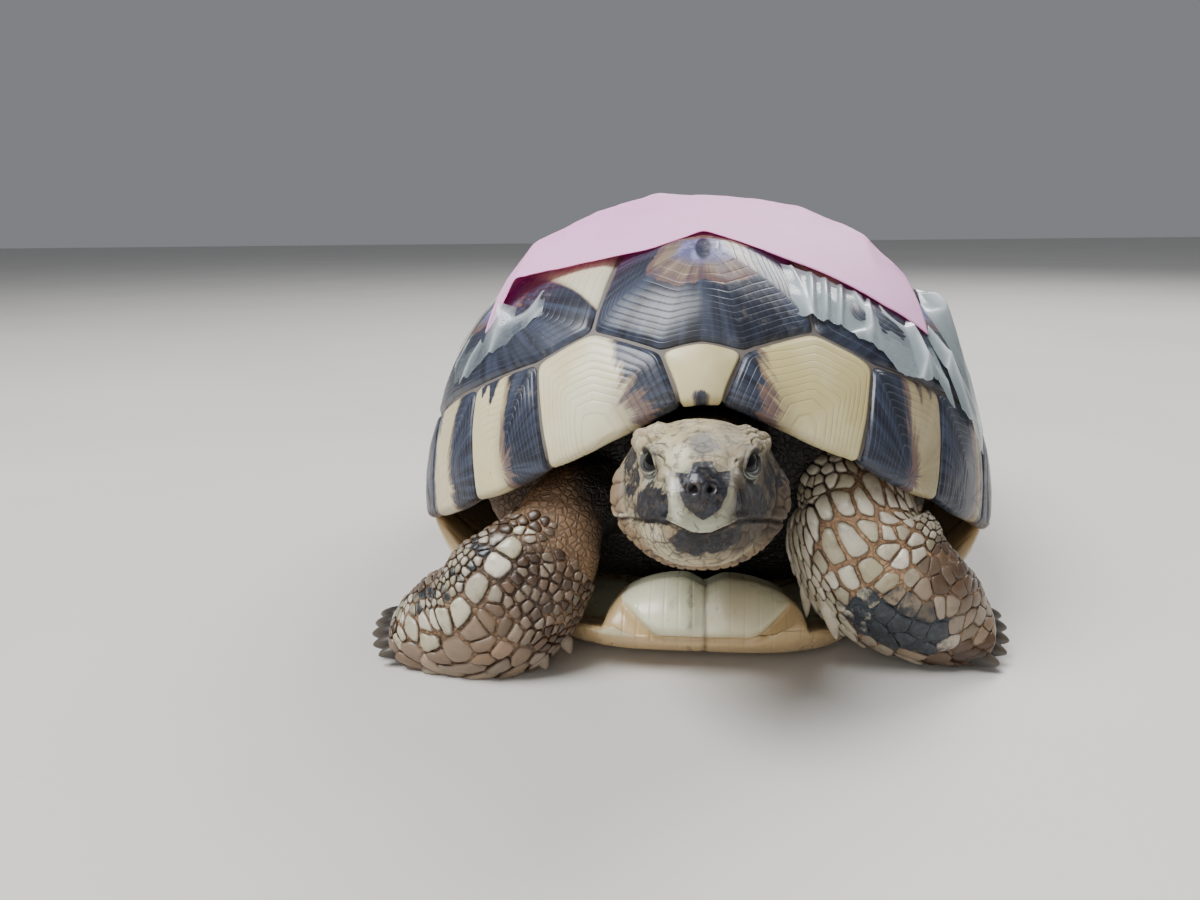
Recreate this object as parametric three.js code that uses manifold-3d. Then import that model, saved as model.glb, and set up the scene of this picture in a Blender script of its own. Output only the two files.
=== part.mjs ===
// A resting spur-thighed tortoise, life size, as a still display model.
// Millimetres, +Z up. The tortoise faces -Y and its own left side is +X. The origin is the middle of
// the flat of the plastron, which lies on the floor at z = 0.
import * as THREE from 'three';
import { mergeVertices } from 'three/addons/utils/BufferGeometryUtils.js';
import Module from 'manifold-3d';

const wasm = await Module();
wasm.setup();

// ---- driving dimensions ----
const GAP = 0.3;              // clearance between neighbouring pieces

const SHELL_LENGTH = 145;     // straight carapace length
const SHELL_WIDTH = 117;
const SHELL_TOP = 76.5;       // top of the dome above the floor
const SHELL_CENTRE_Y = 2.5;
const SHELL_WALL = 3.4;       // bone and horn together
const PLAN_POWER = 2.5;       // superellipse of the outline seen from above
const NUCHAL_RIM = 46;        // rim height over the neck
const SIDE_RIM = 12.5;        // rim height along the bridge
const HIND_RIM = 19;          // rim height where it flares over the thighs
const TAIL_RIM = 15;          // rim height over the tail

const PLASTRON_FRONT = -67;
const PLASTRON_BACK = 63;
const PLASTRON_WALL = 4.2;
const GULAR_PAD = 9;           // extra thickness of the pad under the throat
const GULAR_PAD_Y = -56;
const BRIDGE_FRONT = -31;
const BRIDGE_BACK = 35;
const BRIDGE_HALF = 54;       // half width at the outer edge of the bridge
const FLAT_HALF = 33;         // half width of the level part of the belly

const EYE_RADIUS = 2.9;
const EYE = [5.4, -83.8, 41];
const MOUTH_Z = 33.6;         // height of the mouth line at the snout
const JAW_HINGE_Y = -74;

const PAPER_THICK = 0.6;
const TAPE_THICK = 0.5;

// ---- small helpers ----
const lerp = (a, b, t) => a + (b - a) * t;
const smooth = (a, b, x) => {
  const t = Math.min(Math.max((x - a) / (b - a), 0), 1);
  return t * t * (3 - 2 * t);
};
const bell = (x, width) => Math.exp(-((x / width) ** 2));
const signedPower = (x, p) => Math.sign(x) * Math.abs(x) ** p;
const range = (n) => Array.from({ length: n }, (_, i) => i);
const vector = (p) => new THREE.Vector3(...p);

/** Turns a list of points and triangles into geometry whose faces point out. */
function solidGeometry(points, faces) {
  let volume = 0;
  for (const [a, b, c] of faces) {
    volume += vector(points[a]).dot(vector(points[b]).cross(vector(points[c])));
  }
  const out = volume < 0 ? faces.map(([a, b, c]) => [a, c, b]) : faces;
  const geometry = new THREE.BufferGeometry();
  geometry.setAttribute('position', new THREE.Float32BufferAttribute(points.flat(), 3));
  geometry.setIndex(out.flat());
  return geometry;
}

/** Closed body through rings of points, each end closed by a fan to the middle of its ring. */
function ringBody(rings) {
  const n = rings[0].length;
  const points = rings.flat();
  const faces = [];
  for (const r of range(rings.length - 1)) {
    for (const i of range(n)) {
      const a = r * n + i;
      const b = r * n + ((i + 1) % n);
      faces.push([a, b, b + n], [a, b + n, a + n]);
    }
  }
  for (const [r, turn] of [[0, true], [rings.length - 1, false]]) {
    const middle = points.length;
    points.push([0, 1, 2].map((k) => rings[r].reduce((s, p) => s + p[k], 0) / n));
    for (const i of range(n)) {
      const a = r * n + i;
      const b = r * n + ((i + 1) % n);
      faces.push(turn ? [b, a, middle] : [a, b, middle]);
    }
  }
  return solidGeometry(points, faces);
}

/** Closed slab between two sheets top(u, v) and bottom(u, v), with u and v from 0 to 1. */
function slab(nu, nv, top, bottom) {
  const points = [];
  for (const sheet of [top, bottom]) {
    for (const j of range(nv + 1)) {
      for (const i of range(nu + 1)) points.push(sheet(i / nu, j / nv));
    }
  }
  const row = nu + 1;
  const below = row * (nv + 1);
  const faces = [];
  for (const j of range(nv)) {
    for (const i of range(nu)) {
      const a = j * row + i;
      faces.push([a, a + 1, a + row + 1], [a, a + row + 1, a + row]);
      const b = a + below;
      faces.push([b, b + row + 1, b + 1], [b, b + row, b + row + 1]);
    }
  }
  const wall = (a, b) => faces.push([a, a + below, b + below], [a, b + below, b]);
  for (const i of range(nu)) {
    wall(i, i + 1);
    wall(nv * row + i + 1, nv * row + i);
  }
  for (const j of range(nv)) {
    wall((j + 1) * row, j * row);
    wall(j * row + nu, (j + 1) * row + nu);
  }
  return solidGeometry(points, faces);
}

/**
 * Tube of oval sections along stations {at, wide, thick}, with the wide axis turned towards `across`,
 * or towards the station's own `across` where it twists.
 */
function limb(stations, across, sides = 14, grow = 0) {
  const path = stations.map((s) => vector(s.at));
  const rings = stations.map((s, k) => {
    const before = path[Math.max(k - 1, 0)];
    const after = path[Math.min(k + 1, path.length - 1)];
    const along = after.clone().sub(before).normalize();
    const thickAxis = along.clone().cross(vector(s.across ?? across)).normalize();
    const wideAxis = thickAxis.clone().cross(along).normalize();
    return range(sides).map((i) => {
      const turn = (2 * Math.PI * i) / sides;
      const w = (s.wide + grow) * signedPower(Math.cos(turn), 0.9);
      const t = (s.thick + grow) * signedPower(Math.sin(turn), 0.9);
      return path[k].clone().addScaledVector(wideAxis, w).addScaledVector(thickAxis, t).toArray();
    });
  });
  return ringBody(rings);
}

/** Superellipsoid with half sizes `half` about `centre`. */
function roundedBlock(centre, half, power, around = 24, levels = 8) {
  const e = 2 / power;
  const rings = range(levels - 1).map((k) => {
    const lift = Math.PI * ((k + 1) / levels - 0.5);
    const c = Math.cos(lift) ** e;
    const s = signedPower(Math.sin(lift), e);
    return range(around).map((i) => {
      const turn = (2 * Math.PI * i) / around;
      return [
        centre[0] + half[0] * c * signedPower(Math.cos(turn), e),
        centre[1] + half[1] * c * signedPower(Math.sin(turn), e),
        centre[2] + half[2] * s,
      ];
    });
  });
  return ringBody(rings);
}

function toManifold(geometry) {
  const clean = geometry.clone();
  clean.deleteAttribute('normal');
  clean.deleteAttribute('uv');
  const merged = mergeVertices(clean, 1e-4);
  return new wasm.Manifold(new wasm.Mesh({
    numProp: 3,
    vertProperties: new Float32Array(merged.attributes.position.array),
    triVerts: new Uint32Array(merged.index.array),
  }));
}

/** The largest closed body of a cut result, as geometry. */
function fromManifold(solid) {
  const bodies = solid.decompose().sort((a, b) => b.volume() - a.volume());
  const mesh = bodies[0].getMesh();
  const geometry = new THREE.BufferGeometry();
  geometry.setAttribute('position', new THREE.Float32BufferAttribute(mesh.vertProperties, 3));
  geometry.setIndex([...mesh.triVerts]);
  return geometry;
}

function blockBetween(low, high) {
  const size = high.map((h, k) => h - low[k]);
  const box = new THREE.BoxGeometry(...size);
  box.translate(...low.map((l, k) => l + size[k] / 2));
  return toManifold(box);
}

// ---- materials ----
const finish = (color, roughness) => new THREE.MeshStandardMaterial({ color, roughness, metalness: 0 });
const horn = finish(0xb9a878, 0.32);
const bellyHorn = finish(0xd9cfa6, 0.35);
const skin = finish(0xa08a66, 0.75);
const clawHorn = finish(0x4a463c, 0.4);
const eyeDark = finish(0x15120f, 0.08);
const paper = finish(0xf2aedb, 0.7);
const film = finish(0xdfe6ee, 0.15);

const tortoise = new THREE.Group();
function add(name, geometry, material) {
  const mesh = new THREE.Mesh(geometry, material);
  mesh.name = name;
  tortoise.add(mesh);
}

// ---- the shell ----
// `turn` runs from 0 over the neck to PI over the tail, with the left side positive.

/** Distance from the shell's upright axis to its rim, for a shell grown by `grow`. */
function rimRadius(turn, grow = 0) {
  const across = Math.abs(Math.sin(turn)) / (SHELL_WIDTH / 2 + grow);
  const along = Math.abs(Math.cos(turn)) / (SHELL_LENGTH / 2 + grow);
  return (across ** PLAN_POWER + along ** PLAN_POWER) ** (-1 / PLAN_POWER);
}

/** Rim height: high over the neck, low along the bridge, flared over the thighs. */
function rimHeight(turn) {
  const away = Math.abs(turn);
  const front = (NUCHAL_RIM - SIDE_RIM) * Math.exp(-((away / 0.635) ** 1.45));
  const tail = (TAIL_RIM - SIDE_RIM) * bell(Math.PI - away, 0.5);
  const thigh = (HIND_RIM - SIDE_RIM) * bell(away - 2.4, 0.36);
  return SIDE_RIM + front + tail + thigh;
}

/** How full the dome's profile is in each direction. */
const domePower = (turn) => 2.12 + (Math.cos(turn) > 0 ? 0.23 : 0.05) * Math.cos(turn) ** 2;

/** Point of the dome at `turn`, with v from 0 at the top to 1 at the rim. */
function domePoint(turn, v, grow = 0, rimDrop = 0) {
  const reach = Math.sin((v * Math.PI) / 2) ** (2 / domePower(turn)) * rimRadius(turn, grow);
  const rim = rimHeight(turn) - rimDrop;
  return [
    reach * Math.sin(turn),
    SHELL_CENTRE_Y - reach * Math.cos(turn),
    rim + (SHELL_TOP + grow - rim) * Math.cos((v * Math.PI) / 2),
  ];
}

/** Height of the dome's outer face over the point (x, y) of the floor. */
function domeHeight(x, y) {
  const turn = Math.atan2(x, SHELL_CENTRE_Y - y);
  const reach = Math.min(Math.hypot(x, y - SHELL_CENTRE_Y) / rimRadius(turn), 1);
  const rim = rimHeight(turn);
  return rim + (SHELL_TOP - rim) * Math.sqrt(1 - reach ** domePower(turn));
}

const turns = (n) => range(n).map((i) => (2 * Math.PI * i) / n - Math.PI);
const ringAt = (n, v, grow, drop) => turns(n).map((t) => domePoint(t, v, grow, drop));

/** The bowl of the carapace, with the wall thickened by `grow` on every face. */
function bowl(grow, around = 56) {
  const levels = [0.1, 0.25, 0.4, 0.54, 0.67, 0.79, 0.9, 1];
  const inner = [1, 0.8, 0.5, 0.2];
  return ringBody([
    ...levels.map((v) => ringAt(around, v, grow, grow)),
    ...inner.map((v) => ringAt(around, v, -SHELL_WALL - grow, grow - 1)),
  ]);
}

/** Everything inside the bowl, less `clear`, down to the level of the rim. */
function insideDome(clear) {
  const grow = -SHELL_WALL - clear;
  const rings = [0.2, 0.5, 0.8, 1].map((v) => ringAt(56, v, grow, -1));
  const foot = ringAt(56, 1, grow, 0).map(([x, y]) => [x, y, 0]);
  return ringBody([...rings, foot]);
}

const carapaceGrown = toManifold(bowl(GAP));
add('carapace', bowl(0), horn);

// ---- the plastron ----
/** Half width of the two lobes of the plastron along y, rounded in front and notched behind. */
function lobeHalf(y) {
  const front = 22 + 16 * smooth(PLASTRON_FRONT, -32, y);
  const round = Math.sqrt(Math.max(1 - ((y - PLASTRON_FRONT - 14) / 14) ** 2, 0));
  const frontHalf = y < PLASTRON_FRONT + 14 ? front * lerp(0.62, 1, round) : front;
  const backHalf = 39 - 21 * smooth(34, PLASTRON_BACK, y);
  return y < 0 ? frontHalf : backHalf;
}

const bridgeShare = (y) => {
  return smooth(BRIDGE_FRONT - 9, BRIDGE_FRONT, y) * (1 - smooth(BRIDGE_BACK, BRIDGE_BACK + 9, y));
};

/** Underside of the plastron: level in the middle, curled up at the throat, tail and bridges. */
function bellyPoint(u, v, lift, grow) {
  const s = 2 * u - 1;
  const endwise = grow * (Number(v === 1) - Number(v === 0));
  const y = lerp(PLASTRON_FRONT, PLASTRON_BACK, v) + endwise;
  const bridge = bridgeShare(y);
  const half = lerp(lobeHalf(y), BRIDGE_HALF, bridge) + grow;
  const x = half * s;
  const throat = 4 * (1 - smooth(PLASTRON_FRONT - 1, PLASTRON_FRONT + 15, y)) ** 1.5;
  const tail = 4.5 * smooth(40, PLASTRON_BACK, y) ** 1.4;
  const sideways = Math.max(Math.abs(x) - FLAT_HALF, 0);
  const bridgeRise = 0.0305 * bridge * sideways ** 2;
  const lobeRise = 2.2 * (1 - bridge) * Math.abs(s) ** 5;
  return [x, y, throat + tail + bridgeRise + lobeRise + lift];
}

/** The gular lip swells backwards from its front edge to a thick pad under the throat. */
function bellyWall(u, v) {
  const s = Math.abs(2 * u - 1);
  const y = lerp(PLASTRON_FRONT, PLASTRON_BACK, v);
  const rise = smooth(PLASTRON_FRONT - 4, GULAR_PAD_Y, y);
  const fall = 1 - smooth(GULAR_PAD_Y + 2, GULAR_PAD_Y + 16, y);
  return PLASTRON_WALL - 1.6 * (1 - rise) + GULAR_PAD * rise * fall * (1 - 0.75 * s ** 2);
}

const belly = (grow) => slab(
  14, 18,
  (u, v) => bellyPoint(u, v, bellyWall(u, v) + grow, grow),
  (u, v) => bellyPoint(u, v, -grow, grow),
);
const plastronGrown = toManifold(belly(2 * GAP));
add('plastron', fromManifold(toManifold(belly(0)).subtract(carapaceGrown)), bellyHorn);

// ---- the trunk: skin and flesh that fill the shell ----
const TRUNK_MIDDLE = [0, 3, 37];
const TRUNK_HALF = [53, 55, 34.5];
const TRUNK_POWER = 4;         // nearly a box, so that it reaches the lining of the shell all round
const trunkShape = (grow) => {
  return toManifold(roundedBlock(TRUNK_MIDDLE, TRUNK_HALF.map((half) => half + grow), TRUNK_POWER));
};
const trunkGrown = trunkShape(GAP);
const aboveFloor = blockBetween([-90, -110, 0], [90, 110, 90]);
const trunk = trunkShape(0).intersect(toManifold(insideDome(GAP))).subtract(plastronGrown);
add('trunk', fromManifold(trunk), skin);

const clearOfShell = (solid) => {
  return solid.subtract(carapaceGrown).subtract(plastronGrown).subtract(trunkGrown).intersect(aboveFloor);
};

// ---- head, jaw and neck ----
// Each station is [y, half width, crown height, chin height].
const headStations = [
  [-93.6, 2.6, 40.0, 34.6],
  [-92.8, 4.4, 41.6, 31.8],
  [-90.6, 6.2, 43.0, 29.2],
  [-87.4, 7.9, 44.2, 27.2],
  [-83.8, 9.5, 45.2, 26.0],
  [-79.4, 11.6, 45.8, 25.2],
  [-75.0, 13.0, 45.6, 25.3],
  [-70.0, 12.8, 44.4, 26.4],
  [-65.0, 10.8, 42.4, 27.8],
];

const HEAD_SIDES = 20;

function headRing([y, half, crown, chin], grow) {
  const middle = lerp(chin, crown, 0.44);
  return range(HEAD_SIDES).map((i) => {
    const turn = (2 * Math.PI * i) / HEAD_SIDES;
    const up = Math.sin(turn);
    const reach = up > 0 ? crown - middle : middle - chin;
    const sideways = signedPower(Math.cos(turn), up > 0 ? 0.64 : 0.84);
    return [(half + grow) * sideways, y, middle + (reach + grow) * signedPower(up, 0.9)];
  });
}

const neckStations = [
  { at: [0, -38, 34], wide: 11.5, thick: 10.5 },
  { at: [0, -50, 35], wide: 11, thick: 9.5 },
  { at: [0, -58, 35.3], wide: 10, thick: 8.6 },
  { at: [0, -66, 35.6], wide: 9.6, thick: 7.6 },
];

const eyeBall = (side, radius) => {
  const ball = new THREE.SphereGeometry(radius, 10, 7);
  ball.translate(side * EYE[0], EYE[1], EYE[2]);
  return ball;
};

const skull = toManifold(ringBody(headStations.map((s) => headRing(s, 0))));
const mouthHalf = 20;
const mouthSpace = blockBetween(
  [-mouthHalf, -100, 0],
  [mouthHalf, JAW_HINGE_Y + GAP, MOUTH_Z + GAP / 2],
);
const jawSpace = blockBetween([-mouthHalf, -100, 0], [mouthHalf, JAW_HINGE_Y, MOUTH_Z - GAP / 2]);
const sockets = toManifold(eyeBall(-1, EYE_RADIUS + GAP)).add(toManifold(eyeBall(1, EYE_RADIUS + GAP)));
add('head', fromManifold(skull.subtract(mouthSpace).subtract(sockets).subtract(carapaceGrown)), skin);
add('lower_jaw', fromManifold(skull.intersect(jawSpace)), skin);
add('eye_left', eyeBall(1, EYE_RADIUS), eyeDark);
add('eye_right', eyeBall(-1, EYE_RADIUS), eyeDark);

const skullGrown = toManifold(ringBody(headStations.map(([y, ...rest], k) => {
  return headRing([y + (k === headStations.length - 1 ? GAP : 0), ...rest], GAP);
})));
const neckSolid = toManifold(limb(neckStations, [1, 0, 0], 16));
add('neck', fromManifold(clearOfShell(neckSolid).subtract(skullGrown)), skin);

// ---- claws ----
/** Curved, tapering claw from `root` towards `aim`, drooping at its tip. */
function claw(root, aim, length, radius, grow = 0) {
  const start = vector(root).addScaledVector(vector(aim).normalize(), -grow);
  const heading = vector(aim).normalize();
  const reach = length + 2 * grow;
  const stations = [0, 0.35, 0.7, 1].map((t) => {
    const at = start.clone().addScaledVector(heading, reach * t);
    at.z -= 0.12 * length * t * t;
    const size = radius * (1 - t) ** 0.7 + 0.28;
    return { at: at.toArray(), wide: size, thick: size * 0.8 };
  });
  return limb(stations, [-heading.y, heading.x, 0], 6, grow);
}

// ---- legs ----
// `side` is +1 on the tortoise's left. Stations run from inside the shell to the toes.
const forelegs = {
  left: {
    side: 1,
    across: [0.74, 0.1, 0.66],
    upper: [
      { at: [17, -40, 27], wide: 10, thick: 9 },
      { at: [21, -49, 28.5], wide: 10, thick: 8 },
      { at: [25, -55, 27], wide: 9.6, thick: 7.2 },
    ],
    lower: [
      { at: [25, -55, 27], wide: 9.6, thick: 7.2 },
      { at: [26.9, -57.6, 21.5], wide: 11.4, thick: 7.4 },
      { at: [30.5, -58.6, 15.2], wide: 12.4, thick: 7.2 },
      { at: [35.7, -58.1, 9.9], wide: 11.7, thick: 7 },
      { at: [42, -57, 7], wide: 9.2, thick: 6.4, across: [0.6, 0.5, 0.5] },
      { at: [46.5, -56, 4.6], wide: 7, thick: 4.6, across: [0.35, 0.85, 0.3] },
      { at: [48, -55.8, 4], wide: 5.6, thick: 3.2, across: [0.3, 0.9, 0.3] },
    ],
    toes: { first: [43.8, -60.4, 2.4], last: [47.2, -51.4, 4.9], aim: [0.94, -0.02, -0.08] },
  },
  right: {
    side: -1,
    across: [-0.74, 0.1, 0.66],
    upper: [
      { at: [-15, -40, 27], wide: 10, thick: 9 },
      { at: [-20, -49, 27.5], wide: 9.4, thick: 8 },
      { at: [-24.5, -56, 26], wide: 8.8, thick: 7.2 },
    ],
    lower: [
      { at: [-24.5, -56, 26], wide: 8.8, thick: 7.2 },
      { at: [-27.2, -61.1, 19.8], wide: 11.2, thick: 7.2 },
      { at: [-31.4, -65.1, 13.1], wide: 12.2, thick: 7 },
      { at: [-37.1, -66.6, 8.3], wide: 11.3, thick: 7 },
      { at: [-44, -66, 6.4], wide: 8.8, thick: 6.4, across: [-0.6, 0.5, 0.5] },
      { at: [-49, -64.8, 4.6], wide: 7, thick: 4.4, across: [-0.4, 0.85, 0.3] },
      { at: [-52, -64.3, 3.8], wide: 5.6, thick: 3.2, across: [-0.3, 0.9, 0.3] },
    ],
    toes: { first: [-48, -68.8, 2.3], last: [-51.4, -60, 4.9], aim: [-0.95, 0.06, -0.02] },
  },
};

const hindleg = (side) => ({
  side,
  across: [side * 0.35, 0.9, 0.1],
  upper: [
    { at: [side * 20, 36, 20], wide: 12, thick: 10 },
    { at: [side * 29, 44, 18], wide: 11.5, thick: 9 },
    { at: [side * 36, 49, 14.5], wide: 10.2, thick: 8 },
  ],
  lower: [
    { at: [side * 36, 49, 14.5], wide: 10.2, thick: 8 },
    { at: [side * 39, 50, 10], wide: 9, thick: 7.4 },
    { at: [side * 41.5, 49, 5.5], wide: 8.8, thick: 7.4 },
    { at: [side * 43, 47.5, 2.6], wide: 8.2, thick: 7.4 },
    { at: [side * 43.8, 47, 0.2], wide: 7.2, thick: 6.4 },
  ],
  toes: {
    first: [side * 46, 40.5, 2.2],
    last: [side * 49.2, 51.5, 2.6],
    aim: [side * 0.86, -0.42, -0.12],
  },
});

const CLAW_SIZES = [0.8, 0.95, 1, 0.95, 0.82];
const ELBOW_CUT = 16;         // half size of the thin disc that parts the limb at the elbow or knee

function addLeg(name, leg, clawCount, clawLength, clawRadius) {
  const { first, last, aim } = leg.toes;
  const places = range(clawCount).map((k) => {
    const t = k / (clawCount - 1);
    const spread = (t - 0.5) * 0.7;
    return {
      root: first.map((value, axis) => lerp(value, last[axis], t)),
      aim: [aim[0], aim[1] + spread, aim[2]],
      length: clawLength * CLAW_SIZES[k],
      radius: clawRadius * CLAW_SIZES[k],
    };
  });
  const clawAt = (p, grow) => toManifold(claw(p.root, p.aim, p.length, p.radius, grow));
  let foot = toManifold(limb(leg.lower, leg.across, 16)).intersect(aboveFloor);
  for (const place of places) foot = foot.subtract(clawAt(place, GAP));
  const upperLimb = limb(leg.upper, leg.across, 14);
  const lowerGrown = toManifold(limb(leg.lower, leg.across, 16, GAP));
  const [elbow, next] = leg.lower.map((station) => station.at);
  const elbowCut = toManifold(limb([
    { at: elbow, wide: ELBOW_CUT, thick: ELBOW_CUT },
    { at: elbow.map((value, axis) => lerp(value, next[axis], 0.01)), wide: ELBOW_CUT, thick: ELBOW_CUT },
  ], leg.across, 12));
  add(`${name}_upper`, fromManifold(clearOfShell(toManifold(upperLimb)).subtract(lowerGrown)), skin);
  add(`${name}_lower`, fromManifold(clearOfShell(foot).subtract(elbowCut)), skin);
  places.forEach((place, k) => {
    add(`${name}_claw_${k + 1}`, fromManifold(clawAt(place, 0).intersect(aboveFloor)), clawHorn);
  });
}

addLeg('foreleg_left', forelegs.left, 5, 7.2, 1.05);
addLeg('foreleg_right', forelegs.right, 5, 7.2, 1.05);
addLeg('hindleg_left', hindleg(1), 4, 6.4, 1.2);
addLeg('hindleg_right', hindleg(-1), 4, 6.4, 1.2);

// ---- tail ----
const tailStations = [
  { at: [0, 50, 17], wide: 7.5, thick: 6.5 },
  { at: [0.8, 58, 15], wide: 5.8, thick: 5.2 },
  { at: [2.6, 64.5, 11], wide: 4.2, thick: 3.9 },
  { at: [5.2, 68.5, 7], wide: 2.7, thick: 2.5 },
  { at: [7.6, 70, 4.2], wide: 1.1, thick: 1.1 },
];
add('tail', fromManifold(clearOfShell(toManifold(limb(tailStations, [1, 0, 0], 12)))), skin);

// ---- the paper cape and its tape ----
// The cape is a folded square sheet: rows of fold points run across the shell, and each point stands
// off the dome by its own small height, so that the facets between them tent over the scutes. The
// front edge is uneven, and its right corner is bent down steeply from a raised fold.
const CAPE_X = [-39, -33.2, -21, -9.5, 0, 10, 19.5, 30.5, 38.5];
const CAPE_FRONT_Y = [-44, -44, -46.2, -50, -47.8, -50, -50.6, -48.8, -45];
const capeRows = [
  { y: CAPE_FRONT_Y, off: [0.8, 6.4, 1.9, 1.9, 2.3, 1.9, 1.9, 1.8, 1.4] },
  { y: CAPE_X.map(() => -24), off: [2.0, 4.8, 3.6, 1.8, 1.6, 1.6, 2.6, 3.6, 2.0] },
  { y: CAPE_X.map(() => -4), off: [2.2, 4.2, 3.0, 1.6, 1.6, 1.6, 2.6, 3.4, 2.0] },
  { y: CAPE_X.map(() => 18), off: [2.0, 3.4, 2.6, 1.2, 1.2, 1.4, 2.2, 3.0, 1.8] },
  { y: CAPE_X.map(() => 42), off: [1.4, 2.6, 2.6, 2.2, 2.2, 2.0, 2.4, 2.6, 1.6] },
];

/** Point of the cape with u across and v along, between its fold points. */
function capePoint(u, v, lift) {
  const i = Math.min(Math.floor(u * (CAPE_X.length - 1)), CAPE_X.length - 2);
  const j = Math.min(Math.floor(v * (capeRows.length - 1)), capeRows.length - 2);
  const s = u * (CAPE_X.length - 1) - i;
  const t = v * (capeRows.length - 1) - j;
  const corner = (di, dj) => {
    const x = CAPE_X[i + di];
    const row = capeRows[j + dj];
    const y = row.y[i + di];
    return [x, y, domeHeight(x, y) + row.off[i + di] + lift];
  };
  const mix = (p, q, k) => p.map((value, axis) => lerp(value, q[axis], k));
  return mix(mix(corner(0, 0), corner(1, 0), s), mix(corner(0, 1), corner(1, 1), s), t);
}

add('paper_cape', slab(
  CAPE_X.length - 1,
  capeRows.length - 1,
  (u, v) => capePoint(u, v, PAPER_THICK),
  (u, v) => capePoint(u, v, 0),
), paper);

/** A strip of tape on the dome from one corner pair to another, given as plan positions [x, y]. */
function tape(name, [a, b, c, d], standOff) {
  const place = (u, v, lift) => {
    const near = [0, 1].map((k) => lerp(a[k], b[k], u));
    const far = [0, 1].map((k) => lerp(d[k], c[k], u));
    const [x, y] = [0, 1].map((k) => lerp(near[k], far[k], v));
    return [x, y, domeHeight(x, y) + lift];
  };
  add(name, slab(
    5, 3,
    (u, v) => place(u, v, standOff + TAPE_THICK),
    (u, v) => place(u, v, standOff),
  ), film);
}

tape('tape_front', [[10, -52.4], [37.5, -47.6], [41, -51.5], [14, -60]], 0.5);
tape('tape_left', [[-39.6, -40], [-39.6, -24], [-47, -22], [-45.5, -36]], 0.7);
tape('tape_right', [[39.2, -43], [39.2, -18], [49, -14], [48, -38]], 0.7);
tape('tape_rear', [[-9, 42.8], [9, 42.8], [8, 51], [-8, 51]], 0.7);

export default tortoise;
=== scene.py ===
import math

import bmesh
import bpy
import numpy as np
from mathutils import Matrix, Vector


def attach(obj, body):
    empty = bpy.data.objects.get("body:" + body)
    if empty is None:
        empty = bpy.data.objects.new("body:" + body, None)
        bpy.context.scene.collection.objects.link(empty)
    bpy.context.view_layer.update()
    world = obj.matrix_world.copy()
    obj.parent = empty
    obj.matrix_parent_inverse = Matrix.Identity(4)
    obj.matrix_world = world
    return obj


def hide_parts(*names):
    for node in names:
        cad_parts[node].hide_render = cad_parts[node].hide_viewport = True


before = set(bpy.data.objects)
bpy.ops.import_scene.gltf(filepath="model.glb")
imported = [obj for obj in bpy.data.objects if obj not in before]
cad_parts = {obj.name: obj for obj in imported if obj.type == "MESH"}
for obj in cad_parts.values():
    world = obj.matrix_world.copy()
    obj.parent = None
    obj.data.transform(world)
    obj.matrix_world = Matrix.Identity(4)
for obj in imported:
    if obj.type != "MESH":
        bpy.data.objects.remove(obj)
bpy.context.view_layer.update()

# A resting spur-thighed tortoise with a paper cape. All sizes below are in millimetres unless a
# comment says otherwise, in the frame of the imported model: the head faces -Y, the tortoise's left
# is +X and the floor is z = 0.
MM = 0.001
TAU = 2 * np.pi


# ---------------------------------------------------------------- numbers as arrays
def lerp(a, b, t):
    """The point t of the way from a to b."""
    return a + (b - a) * t


def smooth(a, b, x):
    """Smoothstep from 0 at x = a to 1 at x = b."""
    t = np.clip((x - a) / (b - a), 0, 1)
    return t * t * (3 - 2 * t)


def bell(x, width):
    """Bell curve exp(-(x / width)^2)."""
    return np.exp(-((x / width) ** 2))


def within(x, low, high, soft):
    """1 between low and high, falling off over `soft` at both ends."""
    return smooth(low - soft, low + soft, x) * (1 - smooth(high - soft, high + soft, x))


def signed_power(x, p):
    """|x|^p with the sign of x."""
    return np.sign(x) * np.abs(x) ** p


def unit(v):
    """Vectors brought to length 1."""
    return v / np.maximum(np.linalg.norm(v, axis=-1, keepdims=True), 1e-12)


def waves(points, scale, seed, octaves=3):
    """Smooth noise in about [-1, 1]: for each octave, the mean of eight sine waves of random
    direction and phase, each octave twice as fine and half as high as the last."""
    draw = np.random.default_rng(seed)
    total = np.zeros(points.shape[:-1])
    for octave in range(octaves):
        directions = unit(draw.normal(size=(8, points.shape[-1])))
        phases = draw.uniform(0, TAU, 8)
        turns = points @ directions.T * (2 ** octave * TAU / scale) + phases
        total += np.sin(turns).mean(axis=-1) * 1.6 / 2 ** octave
    return total


def catmull(values, t):
    """Smooth curve through the rows of values, at t from 0 to 1: on each span the cubic whose end
    slopes are half the chord between the neighbouring rows."""
    values = np.asarray(values, float)
    last = len(values) - 1
    span = np.minimum((np.asarray(t) * last).astype(int), last - 1)
    f = (np.asarray(t) * last - span)[..., None]
    before, after = values[np.maximum(span - 1, 0)], values[np.minimum(span + 2, last)]
    p, q = values[span], values[span + 1]
    return p + 0.5 * f * (q - before + f * (2 * before - 5 * p + 4 * q - after
                                            + f * (3 * (p - q) + after - before)))


# ---------------------------------------------------------------- meshes from arrays
def grid_quads(rows, columns, wrap=False):
    """Quads of a rows by columns grid of points, closing column to column where wrap is set."""
    across = columns if wrap else columns - 1
    r, c = np.meshgrid(np.arange(rows - 1), np.arange(across), indexing="ij")
    a, b = r * columns + c, r * columns + (c + 1) % columns
    return np.stack([a, b, b + columns, a + columns], -1).reshape(-1, 4)


def fan(ring, centre, turned=False):
    """Triangles from each side of a closed ring of point numbers to one centre point."""
    following = np.roll(ring, -1)
    a, b = (following, ring) if turned else (ring, following)
    return np.stack([a, b, np.full_like(a, centre)], -1)


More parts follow.
